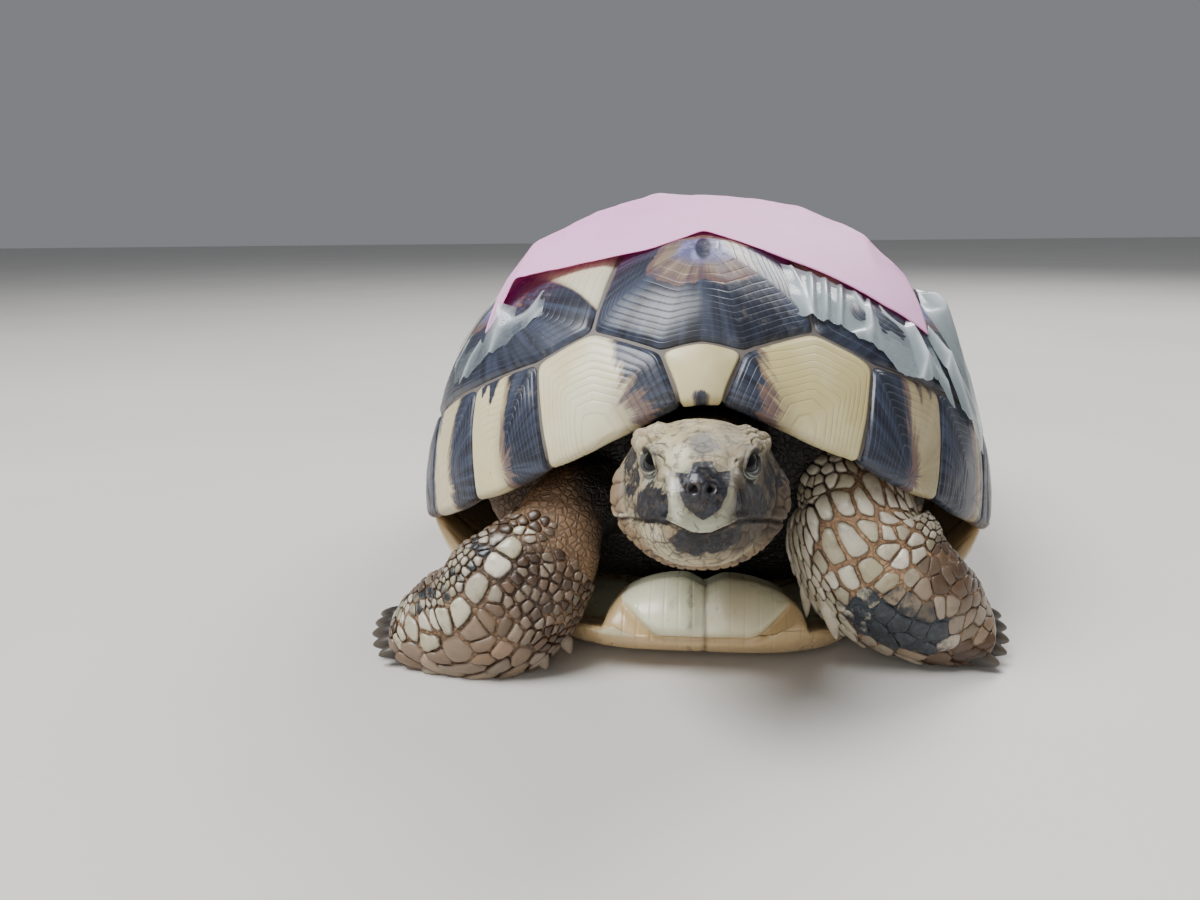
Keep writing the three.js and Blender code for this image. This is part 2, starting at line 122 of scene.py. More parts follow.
def tube_faces(rows, around, inside_out=False):
    """Quads and end fans of rings of points followed by the two end points."""
    total = rows * around
    ring = np.arange(around)
    quads = grid_quads(rows, around, wrap=True)
    ends = np.concatenate([fan(ring, total, True), fan(total - around + ring, total + 1)])
    return (quads[:, ::-1], ends[:, ::-1]) if inside_out else (quads, ends)


def sheet_faces(rows, columns):
    """Quads of two grids of points, the second turned over, and of the border between them."""
    n = rows * columns
    quads = grid_quads(rows, columns)
    border = np.concatenate([np.arange(columns), np.arange(1, rows) * columns + columns - 1,
                             (rows - 1) * columns + np.arange(columns - 2, -1, -1),
                             np.arange(rows - 2, 0, -1) * columns])
    following = np.roll(border, -1)
    walls = np.stack([following, border, border + n, following + n], -1)
    return np.concatenate([quads, quads[:, ::-1] + n, walls])


def tube_grid(rows, around, low=0.0, high=1.0):
    """Share of the length and turn of each point of a tube."""
    return np.meshgrid(np.linspace(low, high, rows), np.linspace(0, TAU, around, endpoint=False),
                       indexing="ij")


def linked(name, data):
    """A new object in the scene."""
    made = bpy.data.objects.new(name, data)
    bpy.context.scene.collection.objects.link(made)
    return made


def write_value(mesh, key, value):
    """Stores one number for each point of the mesh."""
    mesh.attributes.new(key, "FLOAT", "POINT").data.foreach_set("value", value.astype(np.float32))


def read_places(items, key):
    """Vectors of a mesh's points, faces or normals as rows."""
    found = np.empty(len(items) * 3)
    items.foreach_get(key, found)
    return found.reshape(-1, 3)


class Shape:
    """Points, faces and named point values, gathered from many surfaces into one mesh."""

    def __init__(self):
        self.points, self.quads, self.triangles, self.values, self.maps = [], [], [], {}, []
        self.count = 0

    def add(self, points, quads=None, triangles=None, uv=None, **values):
        points = np.asarray(points, float).reshape(-1, 3)
        if quads is not None:
            self.quads.append(quads + self.count)
        if triangles is not None:
            self.triangles.append(triangles + self.count)
        for name, value in values.items():
            flat = np.broadcast_to(np.asarray(value, float), np.shape(value) or (len(points),))
            self.values.setdefault(name, []).append(flat.ravel())
        if uv is not None:
            self.maps.append(np.asarray(uv, float).reshape(-1, 2))
        self.points.append(points)
        self.count += len(points)

    def add_tube(self, rings, ends=None, inside_out=False, floor=None, **values):
        """Rings of points closed at each end by a fan to a point, by default the middle of the
        ring; none may lie under the floor."""
        rows, around = rings.shape[:2]
        ends = [rings[0].mean(0), rings[-1].mean(0)] if ends is None else ends
        points = np.concatenate([rings.reshape(-1, 3), ends])
        if floor is not None:
            points[:, 2] = np.maximum(points[:, 2], floor)
        self.add(points, *tube_faces(rows, around, inside_out), **values)

    def build(self, name, slot, material=None, replaced=()):
        """Makes the object, faces outwards, riding on the root body."""
        points = np.concatenate(self.points) * MM
        quads = np.concatenate(self.quads or [np.zeros((0, 4), int)])
        triangles = np.concatenate(self.triangles or [np.zeros((0, 3), int)])
        corners = np.concatenate([quads.ravel(), triangles.ravel()])
        starts = np.concatenate([np.arange(len(quads)) * 4,
                                 len(quads) * 4 + np.arange(len(triangles)) * 3])
        mesh = bpy.data.meshes.new(name)
        mesh.vertices.add(len(points))
        mesh.vertices.foreach_set("co", points.astype(np.float32).ravel())
        mesh.loops.add(len(corners))
        mesh.loops.foreach_set("vertex_index", corners.astype(np.int32))
        mesh.polygons.add(len(starts))
        mesh.polygons.foreach_set("loop_start", starts.astype(np.int32))
        mesh.update(calc_edges=True)
        mesh.validate()
        for key, chunks in self.values.items():
            write_value(mesh, key, np.concatenate(chunks))
        if self.maps:
            uv = np.concatenate(self.maps)[corners]
            layer = mesh.uv_layers.new(name="OFBake")
            layer.uv.foreach_set("vector", uv.astype(np.float32).ravel())
        mesh.shade_smooth()
        if material is not None:
            mesh.materials.append(material)
        made = linked(name, mesh)
        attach(made, "root")
        if replaced:
            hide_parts(*replaced)
        return made


# ---------------------------------------------------------------- nodes
def srgb(r, g, b):
    """Linear colour from 0-255 display values."""
    c = np.array([r, g, b]) / 255
    return tuple(np.where(c <= 0.04045, c / 12.92, ((c + 0.055) / 1.055) ** 2.4).tolist())


class Tree:
    """Lays shader nodes and links them. A value may be a number, a colour in 0-255 display values,
    another socket, or the name of a point value of the mesh."""

    def __init__(self, tree):
        self.tree = tree

    def lay(self, kind, inputs=None, out=0, **settings):
        made = self.tree.nodes.new(kind)
        for key, value in settings.items():
            setattr(made, key, value)
        for key, value in (inputs or {}).items():
            self.feed(made.inputs[key], value)
        return made.outputs[out]

    def feed(self, socket, value):
        if isinstance(value, str):
            value = self.lay("ShaderNodeAttribute", out=2, attribute_name=value)
        if isinstance(value, bpy.types.NodeSocket):
            self.tree.links.new(value, socket)
        elif socket.type == "RGBA":
            socket.default_value = (*srgb(*value), 1)
        else:
            socket.default_value = value

    def math(self, operation, a, b, clamp=False):
        return self.lay("ShaderNodeMath", {0: a, 1: b}, operation=operation, use_clamp=clamp)

    def plus(self, a, b):
        return self.math("ADD", a, b)

    def minus(self, a, b):
        return self.math("SUBTRACT", a, b)

    def times(self, a, b):
        return self.math("MULTIPLY", a, b)

    def swing(self, noise, height):
        """Noise about zero: (noise - 0.5) height."""
        return self.times(self.minus(noise, 0.5), height)

    def coats(self, colour, *coats):
        """Lays each coat over the last: its share, the most of it, and its colour."""
        for share, most, coat in coats:
            colour = self.mix(share if most == 1 else self.times(share, most), colour, coat)
        return colour

    def mix(self, share, a, b):
        made = self.tree.nodes.new("ShaderNodeMix")
        made.data_type, made.clamp_factor = "RGBA", True
        for key, value in (("Factor_Float", share), ("A_Color", a), ("B_Color", b)):
            self.feed(next(s for s in made.inputs if s.identifier == key), value)
        return next(s for s in made.outputs if s.identifier == "Result_Color")

    def step(self, value, low, high, to_low=0.0, to_high=1.0):
        inputs = {"Value": value, "From Min": low, "From Max": high,
                  "To Min": to_low, "To Max": to_high}
        return self.lay("ShaderNodeMapRange", inputs, interpolation_type="SMOOTHSTEP")

    def noise(self, vector, scale, detail=3.0, roughness=0.55):
        inputs = {"Vector": vector, "Scale": scale, "Detail": detail, "Roughness": roughness}
        return self.lay("ShaderNodeTexNoise", inputs)

    def cell_edge(self, vector, scale):
        """Distance to the nearest border between random cells."""
        return self.lay("ShaderNodeTexVoronoi", {"Vector": vector, "Scale": scale},
                        feature="DISTANCE_TO_EDGE")

    def vector(self, x, y, z):
        return self.lay("ShaderNodeCombineXYZ", {0: x, 1: y, 2: z})

    def place(self):
        return self.lay("ShaderNodeTexCoord", out=3)

    def bump(self, strength, distance, height):
        return self.lay("ShaderNodeBump",
                        {"Strength": strength, "Distance": distance, "Height": height})

    def group(self, made, inputs, out=0):
        node = self.tree.nodes.new("ShaderNodeGroup")
        node.node_tree = made
        for key, value in inputs.items():
            self.feed(node.inputs[key], value)
        return [node.outputs[k] for k in out] if isinstance(out, tuple) else node.outputs[out]


def node_group(name, inputs, outputs, fill):
    """A shader node group: inputs and outputs are {name: (socket type, default)}; fill(tree, inputs)
    gives the socket for each output."""
    made = bpy.data.node_groups.new(name, "ShaderNodeTree")
    for key, (kind, default) in inputs.items():
        socket = made.interface.new_socket(key, in_out="INPUT", socket_type=kind)
        if default is not None:
            socket.default_value = default
    for key, kind in outputs.items():
        made.interface.new_socket(key, in_out="OUTPUT", socket_type=kind)
    tree = Tree(made)
    entry, leave = made.nodes.new("NodeGroupInput"), made.nodes.new("NodeGroupOutput")
    for key, socket in fill(tree, entry.outputs).items():
        made.links.new(socket, leave.inputs[key])
    return made


def material(name, fill):
    """A Principled material; fill(tree) gives a value or socket for each named input."""
    made = bpy.data.materials.new(name)
    made.use_nodes = True
    tree = Tree(made.node_tree)
    shader = made.node_tree.nodes["Principled BSDF"]
    for key, value in fill(tree).items():
        tree.feed(shader.inputs[key], value)
    return made


FLOAT, VECTOR = "NodeSocketFloat", "NodeSocketVector"


# ---------------------------------------------------------------- the dome of the shell
SHELL_LENGTH, SHELL_WIDTH, SHELL_TOP, SHELL_CENTRE_Y = 145.0, 117.0, 76.5, 2.5
PLAN_POWER = 2.5
NUCHAL_RIM, SIDE_RIM, HIND_RIM, TAIL_RIM = 46.0, 12.5, 19.0, 15.0
LIP = 62.0                       # mm under the rim for each unit of v past 1
LIP_RADIUS, LIP_ARC = 0.9, 1.41  # of the rim's rounding, mm


def rim_radius(turn, grow=0.0):
    """Superellipse outline: how far the rim lies from the upright axis at each turn."""
    across = np.abs(np.sin(turn)) / (SHELL_WIDTH / 2 + grow)
    along = np.abs(np.cos(turn)) / (SHELL_LENGTH / 2 + grow)
    return (across ** PLAN_POWER + along ** PLAN_POWER) ** (-1 / PLAN_POWER)


# How far short of v = 1 the rim turns under, over the turn in radians: the front is arched for
# the head.
ARCH_TURNS = [-0.95, -0.53, -0.314, -0.12, 0, 0.12, 0.314, 0.53, 0.95]
ARCH = [0, 0.016, 0.019, 0.030, 0.042, 0.052, 0.050, 0.039, 0]


def rim_height(turn):
    """Height of the rim: low at the sides, with bells of height added at the neck, over the thighs
    and at the tail."""
    away = np.abs(turn)
    front = (NUCHAL_RIM - SIDE_RIM) * np.exp(-((away / 0.635) ** 1.45))
    tail = (TAIL_RIM - SIDE_RIM) * bell(np.pi - away, 0.5)
    return SIDE_RIM + front + tail + (HIND_RIM - SIDE_RIM) * bell(away - 2.4, 0.36)


def dome_power(turn):
    """Roundness of the dome: 2.12, squarer towards the neck and the tail by cos^2 of the turn."""
    return 2.12 + np.where(np.cos(turn) > 0, 0.23, 0.05) * np.cos(turn) ** 2


def dome(a, b, grow=0.0):
    """Point of the shell over the chart: v = hypot(a, b) runs from 0 at the top to 1 at the rim, and
    the direction is the turn round the axis. Past the rim, v goes round a small lip and inwards
    under the marginal scutes."""
    turn, v = np.arctan2(a, -b), np.hypot(a, b)
    lip = 1 - np.interp(turn, ARCH_TURNS, ARCH)
    inside = np.minimum(v, lip) * np.pi / 2
    under = np.maximum(v - lip, 0) * LIP
    radius = rim_radius(turn, grow)
    bend, past = np.minimum(under / LIP_RADIUS, np.pi / 2), np.maximum(under - LIP_ARC, 0)
    inward = LIP_RADIUS * (1 - np.cos(bend)) + past * 0.97
    drop = LIP_RADIUS * np.sin(bend) - past * 0.26
    reach = np.sin(inside) ** (2 / dome_power(turn)) * radius - inward
    rim = rim_height(turn)
    z = rim + (SHELL_TOP + grow - rim) * np.cos(inside) - drop
    return np.stack([reach * np.sin(turn), SHELL_CENTRE_Y - reach * np.cos(turn), z], -1)


def dome_normal(a, b):
    """Outward normal: the cross product of the surface's two slopes over a small chart step."""
    e = 2e-3
    over_a = dome(a + e, b) - dome(a - e, b)
    over_b = dome(a, b + e) - dome(a, b - e)
    return unit(np.cross(over_a, over_b))


def dome_height(x, y):
    """Height of the dome over a point of the floor."""
    turn = np.arctan2(x, SHELL_CENTRE_Y - y)
    reach = np.minimum(np.hypot(x, y - SHELL_CENTRE_Y) / rim_radius(turn), 1)
    rim = rim_height(turn)
    return rim + (SHELL_TOP - rim) * np.sqrt(1 - reach ** dome_power(turn))


def steepness(x, y):
    """Straight-up height taken by one mm off the dome: the root of 1 + slope^2, at most 2.2."""
    slope = np.hypot(dome_height(x + 0.5, y) - dome_height(x - 0.5, y),
                     dome_height(x, y + 0.5) - dome_height(x, y - 0.5))
    return np.minimum(np.hypot(1, slope), 2.2)


def chart(turn_degrees, v):
    """Chart place of a turn in degrees and a v."""
    turn = np.radians(turn_degrees)
    return np.array([v * np.sin(turn), -v * np.cos(turn)])


def chart_of(x, y):
    """Chart place of a plan position inside the rim."""
    turn = math.atan2(x, SHELL_CENTRE_Y - y)
    share = min(math.hypot(x, y - SHELL_CENTRE_Y) / rim_radius(turn), 1.0)
    v = math.asin(share ** (dome_power(turn) / 2)) * 2 / math.pi
    return np.array([v * math.sin(turn), -v * math.cos(turn)])


# ---------------------------------------------------------------- camera, floor and light
def look(name, place, pitch, yaw, roll, focal):
    """Camera at place (mm), pitched down and turned left, with its long side as the sensor width."""
    data = bpy.data.cameras.new(name)
    data.lens, data.sensor_width = focal, 36
    data.clip_start, data.clip_end = 0.005, 50
    p, y, r = (math.radians(v) for v in (pitch, yaw, roll))
    forward = np.array([-math.sin(y) * math.cos(p), math.cos(y) * math.cos(p), -math.sin(p)])
    right = np.array([math.cos(y), math.sin(y), 0.0])
    up = np.cross(right, forward)
    right, up = (math.cos(r) * right + math.sin(r) * up, -math.sin(r) * right + math.cos(r) * up)
    made = linked(name, data)
    turn = np.eye(4)
    turn[:3, 0], turn[:3, 1], turn[:3, 2] = right, up, -forward
    turn[:3, 3] = np.array(place) * MM
    made.matrix_world = Matrix(turn.tolist())
    return made


def area_light(name, place, aim, size, power, colour=(1, 1, 1)):
    """A round soft light at place, turned towards aim (both in metres)."""
    data = bpy.data.lights.new(name, "AREA")
    data.shape, data.size, data.energy, data.color = "DISK", size, power, colour
    made = linked(name, data)
    made.location = place
    direction = np.array(aim) - np.array(place)
    made.rotation_euler = Vector(direction).to_track_quat("-Z", "Y").to_euler()


def build_stage():
    """Pale floor, soft daylight from the front and left, a softer light from behind, and a pale
    world."""
    def floor_finish(t):
        cloud = t.noise(t.place(), 9.0, 4.0)
        return {"Base Color": t.mix(cloud, (196, 193, 188), (212, 209, 204)), "Roughness": 0.55}

    mesh = bpy.data.meshes.new("floor")
    reach = 3.0
    corners = [(-reach, -reach, 0), (reach, -reach, 0), (reach, reach, 0), (-reach, reach, 0)]
    mesh.from_pydata(corners, [], [(0, 1, 2, 3)])
    mesh.materials.append(material("pale_floor", floor_finish))
    linked("floor", mesh)
    area_light("window", (-0.38, -0.28, 0.78), (0, 0, 0.03), 0.55, 12.8, (0.97, 0.98, 1.0))
    area_light("front_fill", (-0.2, -0.8, 0.3), (0, 0, 0.04), 0.6, 1.7, (1.0, 0.97, 0.93))
    area_light("back_fill", (0.35, 0.55, 0.7), (0, 0, 0.03), 0.5, 7.5)
    world = bpy.data.worlds.new("studio")
    world.use_nodes = True
    world.node_tree.nodes["Background"].inputs[0].default_value = (0.80, 0.83, 0.88, 1)
    world.node_tree.nodes["Background"].inputs[1].default_value = 0.27
    bpy.context.scene.world = world
    bpy.context.scene.camera = look("camera", (0, -210, 74), 13.8, 6.3, -0.7, 28.08)


build_stage()


# ---------------------------------------------------------------- finishes shared by the horn pieces
def growth_rings():
    """Thin grooves where the ring count passes a whole number. Puts out the mask of the grooves and
    a height for bump; the count may be broken up by a wander value."""
    def fill(t, given):
        count = t.plus(given["count"], t.times(given["wander"], 0.25))
        phase = t.math("PINGPONG", count, 0.5)
        line = t.step(phase, 0.0, given["width"], 1.0, 0.0)
        return {"line": line, "height": t.minus(1.0, line)}

    return node_group("growth_rings", {"count": (FLOAT, 0.0), "wander": (FLOAT, 0.0),
                                       "width": (FLOAT, 0.12)},
                      {"line": FLOAT, "height": FLOAT}, fill)


def ray_streaks():
    """Noise drawn out along the rays from a scute's areola: the direction (cos, sin) is stretched
    and the distance squeezed before the noise is read."""
    def fill(t, given):
        place = t.vector(t.times(given["east"], given["fineness"]),
                         t.times(given["north"], given["fineness"]),
                         t.plus(t.times(given["ring"], 0.9), given["seed"]))
        return {"streak": t.noise(place, 1.0, 4.0, 0.6)}

    rays = {key: (FLOAT, 0.0) for key in ("east", "north", "ring", "seed")}
    return node_group("ray_streaks", {**rays, "fineness": (FLOAT, 7.0)}, {"streak": FLOAT}, fill)


def fine_wear():
    """Dust and small scuffs: two sizes of noise multiplied, as a mask."""
    def fill(t, given):
        broad = t.step(t.noise(given["place"], given["broad"], 3.0), 0.45, 0.7)
        small = t.step(t.noise(given["place"], given["fine"], 5.0, 0.7), 0.5, 0.75)
        return {"mask": t.times(broad, small)}

    return node_group("fine_wear", {"place": (VECTOR, None), "broad": (FLOAT, 40.0),
                                    "fine": (FLOAT, 500.0)}, {"mask": FLOAT}, fill)


RINGS, STREAKS, WEAR = growth_rings(), ray_streaks(), fine_wear()


def shell_finish(t):
    """Olive-yellow horn with dark slate fields. `dark` is a signed field over each scute: streaks
    drawn along its rays break up the border, which passes through purple-brown."""
    place = t.place()
    ray = {key: key for key in ("east", "north", "ring", "seed")}
    coarse = t.group(STREAKS, {**ray, "fineness": 3.2})
    fine = t.group(STREAKS, {**ray, "fineness": 11.0})
    speckle = t.noise(place, 420.0, 4.0, 0.65)
    wander = t.minus(t.noise(place, 160.0, 2.0), 0.5)
    line, relief = t.group(RINGS, {"count": "count", "wander": wander, "width": 0.13},
                           ("line", "height"))
    field = "dark"
    for source, weight in ((coarse, 1.5), (fine, 0.9), (speckle, 0.35)):
        field = t.plus(field, t.swing(source, weight))
    brown = t.step(t.plus(field, t.times("umber", 0.45)), -0.30, 0.05)
    mauve = t.mix(t.step(fine, 0.35, 0.65), (118, 98, 92), (72, 55, 54))
    middle = t.mix(t.step(fine, 0.35, 0.65), (106, 78, 70), (80, 60, 76))
    slate = t.mix(t.step(fine, 0.35, 0.7), (30, 32, 42), (58, 66, 84))
    areola = t.mix(t.step(speckle, 0.4, 0.65), (84, 84, 128), (134, 136, 176))
    dust = t.group(WEAR, {"place": place, "broad": 45.0, "fine": 650.0})
    colour = t.coats(
        t.mix("cream", (192, 178, 124), (232, 228, 200)),
        (t.step(t.noise(place, 90.0, 3.0), 0.35, 0.7), 1, (214, 202, 156)),
        ("umber", 0.85, mauve), (line, 0.13, (150, 128, 84)), (brown, 0.8, middle),
        (t.step(field, -0.03, 0.16), 1, t.coats(slate, (line, 0.2, (96, 102, 120)))),
        ("areola", 0.92, areola), (t.step("spot", 0.35, 0.6), 1, (38, 38, 60)),
        (dust, 0.35, (190, 184, 174)), ("edge", 1, (150, 118, 84)))
    rough = t.step(t.plus(t.noise(place, 120.0, 4.0), t.times(dust, 0.5)), 0.3, 0.9, 0.30, 0.55)
    return {"Base Color": colour, "Roughness": rough, "Coat Weight": 0.15, "Coat Roughness": 0.2,
            "Normal": t.bump(0.4, 0.00015, t.plus(relief, t.times(fine, 0.5)))}


def seam_finish(t):
    """Dark bed under the scutes, and the tan underside of the rim."""
    place = t.place()
    mottle = t.noise(place, 110.0, 4.0, 0.6)
    top = t.mix(mottle, (78, 70, 66), (124, 116, 108))
    below = t.mix(mottle, (150, 118, 82), (178, 148, 108))
    bump = t.bump(0.3, 0.0002, mottle)
    return {"Base Color": t.mix("under", top, below), "Roughness": 0.6, "Normal": bump}


# ---------------------------------------------------------------- the scutes of the carapace
RIM_V = 1.0 + 7.0 / LIP          # marginal scutes end 7 mm in under the rim
SEAM = 0.26                      # half width of the seams, mm
CHART_MM = 66.0                  # rough size of one chart unit

# Plan places (mm) where the vertebral and costal scutes meet, from the neck to the tail.
SPINE_NODES = [(17.6, -60.3), (13.6, -41.0), (20.5, -27.0), (15.5, -15.5), (21.0, -2.0),
               (15.5, 10.5), (19.5, 22.0), (12.0, 34.0), (25.0, 56.0)]
# Turns (degrees) and heights (v) where costal scutes meet the marginals.
COSTAL_FEET = [(15.7, 0.68), (60.0, 0.80), (91.0, 0.815), (121.0, 0.80), (150.0, 0.775)]
# Turns of the seams between the marginals: at the rim and at their upper edge, with its v.
MARGINAL_RIM = [1.0, 18.0, 30.5, 45.0, 62.0, 80.0, 97.0, 113.0, 127.0, 141.0, 154.0, 168.0]
MARGINAL_TOP = [(5.2, 0.795), (23.8, 0.715), (36.5, 0.735), (51.5, 0.78), (66.0, 0.805),
                (82.0, 0.82), (98.0, 0.82), (113.0, 0.81), (127.0, 0.80), (142.0, 0.785),
                (155.0, 0.775), (169.0, 0.765)]


def flipped(points):
    """Chart places laid over to the other side of the middle line."""
    return [np.array([-p[0], p[1]]) for p in points]


def carapace_layout():
    """All scutes as (outline in the chart, areola in the chart, kind)."""
    spine = [chart_of(*p) for p in SPINE_NODES]
    feet = [chart(*f) for f in COSTAL_FEET]
    top = [chart(*m) for m in MARGINAL_TOP]
    low = [chart(turn, RIM_V) for turn in MARGINAL_RIM]
    scutes = []

    def across(side, areola, kind):
        scutes.append((side + flipped(side)[::-1], areola, kind))

    def both(outline, areola, kind):
        scutes.append((outline, areola, kind))
        scutes.append((flipped(outline)[::-1], flipped([areola])[0], kind))

    across([top[0], spine[0], spine[1]], chart_of(0.01, -50.5), "vertebral_1")
    for start, end in ((1, 3), (3, 5), (5, 7)):
        y = lerp(SPINE_NODES[start][1], SPINE_NODES[end][1], 0.56)
        across(spine[start:end + 1], chart_of(0.01, y), "vertebral")
    across([spine[7], feet[4], top[10], top[11]], chart_of(0.01, 52.0), "vertebral")
    scutes.append(([top[0], *flipped([top[0], low[0]]), low[0]], chart(0.0, 0.90), "nuchal"))
    costal_sides = [[0, 1, 2], [2, 3, 4], [4, 5, 6], [6, 7]]
    feet_between = [[1, 2, 3], [4, 5], [6, 7], [8, 9]]
    areolae = [(36.0, -36.5), (40.0, -11.0), (39.5, 12.0), (34.0, 36.0)]
    for k in range(4):
        inner = [spine[i] for i in costal_sides[k]]
        outer = [top[i] for i in feet_between[k]]
        outline = inner + [feet[k + 1]] + outer[::-1] + ([] if k == 0 else [feet[k]])
        both(outline, chart_of(*areolae[k]), "costal_1" if k == 0 else "costal")
    for k in range(11):
        joints = [foot for foot, (turn, _) in zip(feet[1:], COSTAL_FEET[1:])
                  if MARGINAL_TOP[k][0] < turn < MARGINAL_TOP[k + 1][0]]
        upper = [top[k]] + spine[:1] * (k == 0) + joints + [top[k + 1]]
        turn = lerp(MARGINAL_RIM[k], MARGINAL_RIM[k + 1], 0.68 if k < 5 else 0.5)
        both(upper + [low[k + 1], low[k]], chart(turn, 0.95), f"marginal_{k + 1}")
    scutes.append(([top[11], *flipped([top[11], low[11]]), low[11]], chart(180.0, 0.92),
                   "supracaudal"))
    return scutes


def outline_points(outline, count):
    """Border of a scute as `count` points at even steps: straight between its corners in the chart,
    with corners rounded by a short running mean."""
    corners = np.array(outline)
    ahead = np.roll(corners, -1, axis=0)
    lengths = np.linalg.norm(ahead - corners, axis=1)
    ends = np.concatenate([[0], np.cumsum(lengths)])
    along = np.linspace(0, ends[-1], count, endpoint=False)
    side = np.clip(np.searchsorted(ends, along, side="right") - 1, 0, len(corners) - 1)
    share = ((along - ends[side]) / lengths[side])[:, None]
    border = lerp(corners[side], ahead[side], share)
    for _ in range(2):
        border = (np.roll(border, 1, 0) + 2 * border + np.roll(border, -1, 0)) / 4
    return border


SCUTE_FORM = {   # crown height mm, ring count, groove depth mm, border points, rings of points
    "vertebral_1": (1.9, 13, 0.026, 168, 56), "vertebral": (0.9, 11, 0.11, 120, 36),
    "nuchal": (0.35, 5, 0.02, 64, 28), "costal_1": (1.1, 13, 0.038, 168, 56),
    "costal": (1.0, 12, 0.12, 132, 40), "marginal": (0.5, 10, 0.10, 80, 30),
    "marginal_1": (0.5, 9, 0.075, 120, 54), "marginal_2": (0.5, 10, 0.07, 120, 54),
    "supracaudal": (0.7, 10, 0.10, 96, 32),
}


def marginal_place(k, a, b):
    """Where chart places lie on marginal k: t from the seam nearer the head (0) to the next seam
    (1), and w from its upper edge (0) to the rim (1)."""
    turn, v = np.degrees(np.arctan2(np.abs(a), -b)), np.hypot(a, b)
    (turn_0, v_0), (turn_1, v_1) = MARGINAL_TOP[k], MARGINAL_TOP[k + 1]
    top = (v_0 + v_1) / 2
    low = (v - top) / (RIM_V - top)
    near = lerp(turn_0, MARGINAL_RIM[k], low)
    far = lerp(turn_1, MARGINAL_RIM[k + 1], low)
    return (turn - near) / (far - near), (v - top) / (1 - top)


def marginal_marks(k, side, t, w):
    """Signed dark field and umber of marginal k, for side -1 (the tortoise's right) or 1."""
    if k == 0:
        border = np.where(side < 0, 0.30 - 0.13 * w, 0.10 + 0.20 * w)
        umber = smooth(0.26, 0.0, t - border - 0.04) * smooth(0.2, 0.7, w)
        return 4.5 * (border - t), 0.75 * umber
    if k == 1:
        border = np.where(side < 0, 0.42 - 0.08 * w, 0.36 + 0.16 * w)
        field = 4.5 * (border - t)
        for place, depth in ((0.62, 0.34), (0.80, 0.22)):
            tongue = 1.3 - np.abs(t - place) / 0.05 - 1.6 * smooth(0.0, 1.0, w / depth)
            field = np.maximum(field, np.where(side < 0, tongue, tongue - 0.5))
        umber = smooth(0.22, 0.0, t - border) * smooth(0.2, 0.8, w)
        return field, np.where(side < 0, 0.7 * umber, np.maximum(umber, 0.55))
    if k == 2:
        border = np.where(side < 0, 0.30, 0.58)
        field = np.maximum(4.5 * (border - t), 5.0 * (t - 0.88) + 0.2)
        return field, np.where(side < 0, 0.15, 0.6) + 0 * t
    return 4.2 * (0.36 + 0.06 * np.sin(5.0 * k) - t), 0.2 + 0 * t


def scute_marks(kind, side, r, ahead, outward, a, b, place):
    """Signed dark field (above 0 is slate, below 0 is yellow), umber and cream over a scute. `ahead`
    is 1 towards the head, `outward` is 1 down the flank, `r` the share of the way to the border."""
    # Painted light: every scute on the tortoise's right, the side the window lights, is drawn 0.35
    # creamier.
    cream = 0.35 * (side < 0) + 0 * r
    if kind.startswith("marginal"):
        k = int(kind.split("_")[1]) - 1
        field, umber = marginal_marks(k, side, *marginal_place(k, a, b))
        # Painted light: the first marginal on the lit right side is drawn creamier still.
        return field, umber, cream + 0.45 * (k == 0) * (side < 0)
    if kind == "vertebral_1":
        field = -0.62 + 1.75 * smooth(0.36, 0.62, r) * smooth(-0.80, -0.15, ahead)
        return field, 1 - 0.8 * smooth(0.5, 0.9, r), cream
    if kind == "costal_1":
        lower = 0.75 * outward + 0.5 * ahead
        field = -0.45 + 1.6 * smooth(0.22, 0.50, r) * smooth(-0.30, 0.30, lower)
        beside = np.abs(place[..., 0]) - 14.4 - 0.66 * (place[..., 1] + 60.5)
        wedge = smooth(1.4, -0.6, beside) * smooth(-61, -58, place[..., 1])
        wedge = wedge * np.where(side < 0, 1, 0.5)
        return field - 2.4 * wedge, 1 - 0.8 * wedge, cream + 0.5 * wedge
    if kind == "nuchal":
        field = -1.6 + 2.2 * bell(a * CHART_MM, 1.9) * smooth(0.905, 0.955, np.hypot(a, b))
        return field, 0 * r, cream + 0.1
    front, down = smooth(-0.15, 0.75, ahead), smooth(0.1, 0.95, outward)
    band = smooth(0.55, 0.95, r)
    return -0.55 + 1.2 * band * np.maximum(front, 0.85 * down) + 0.35 * band, 0.25 + 0 * r, cream


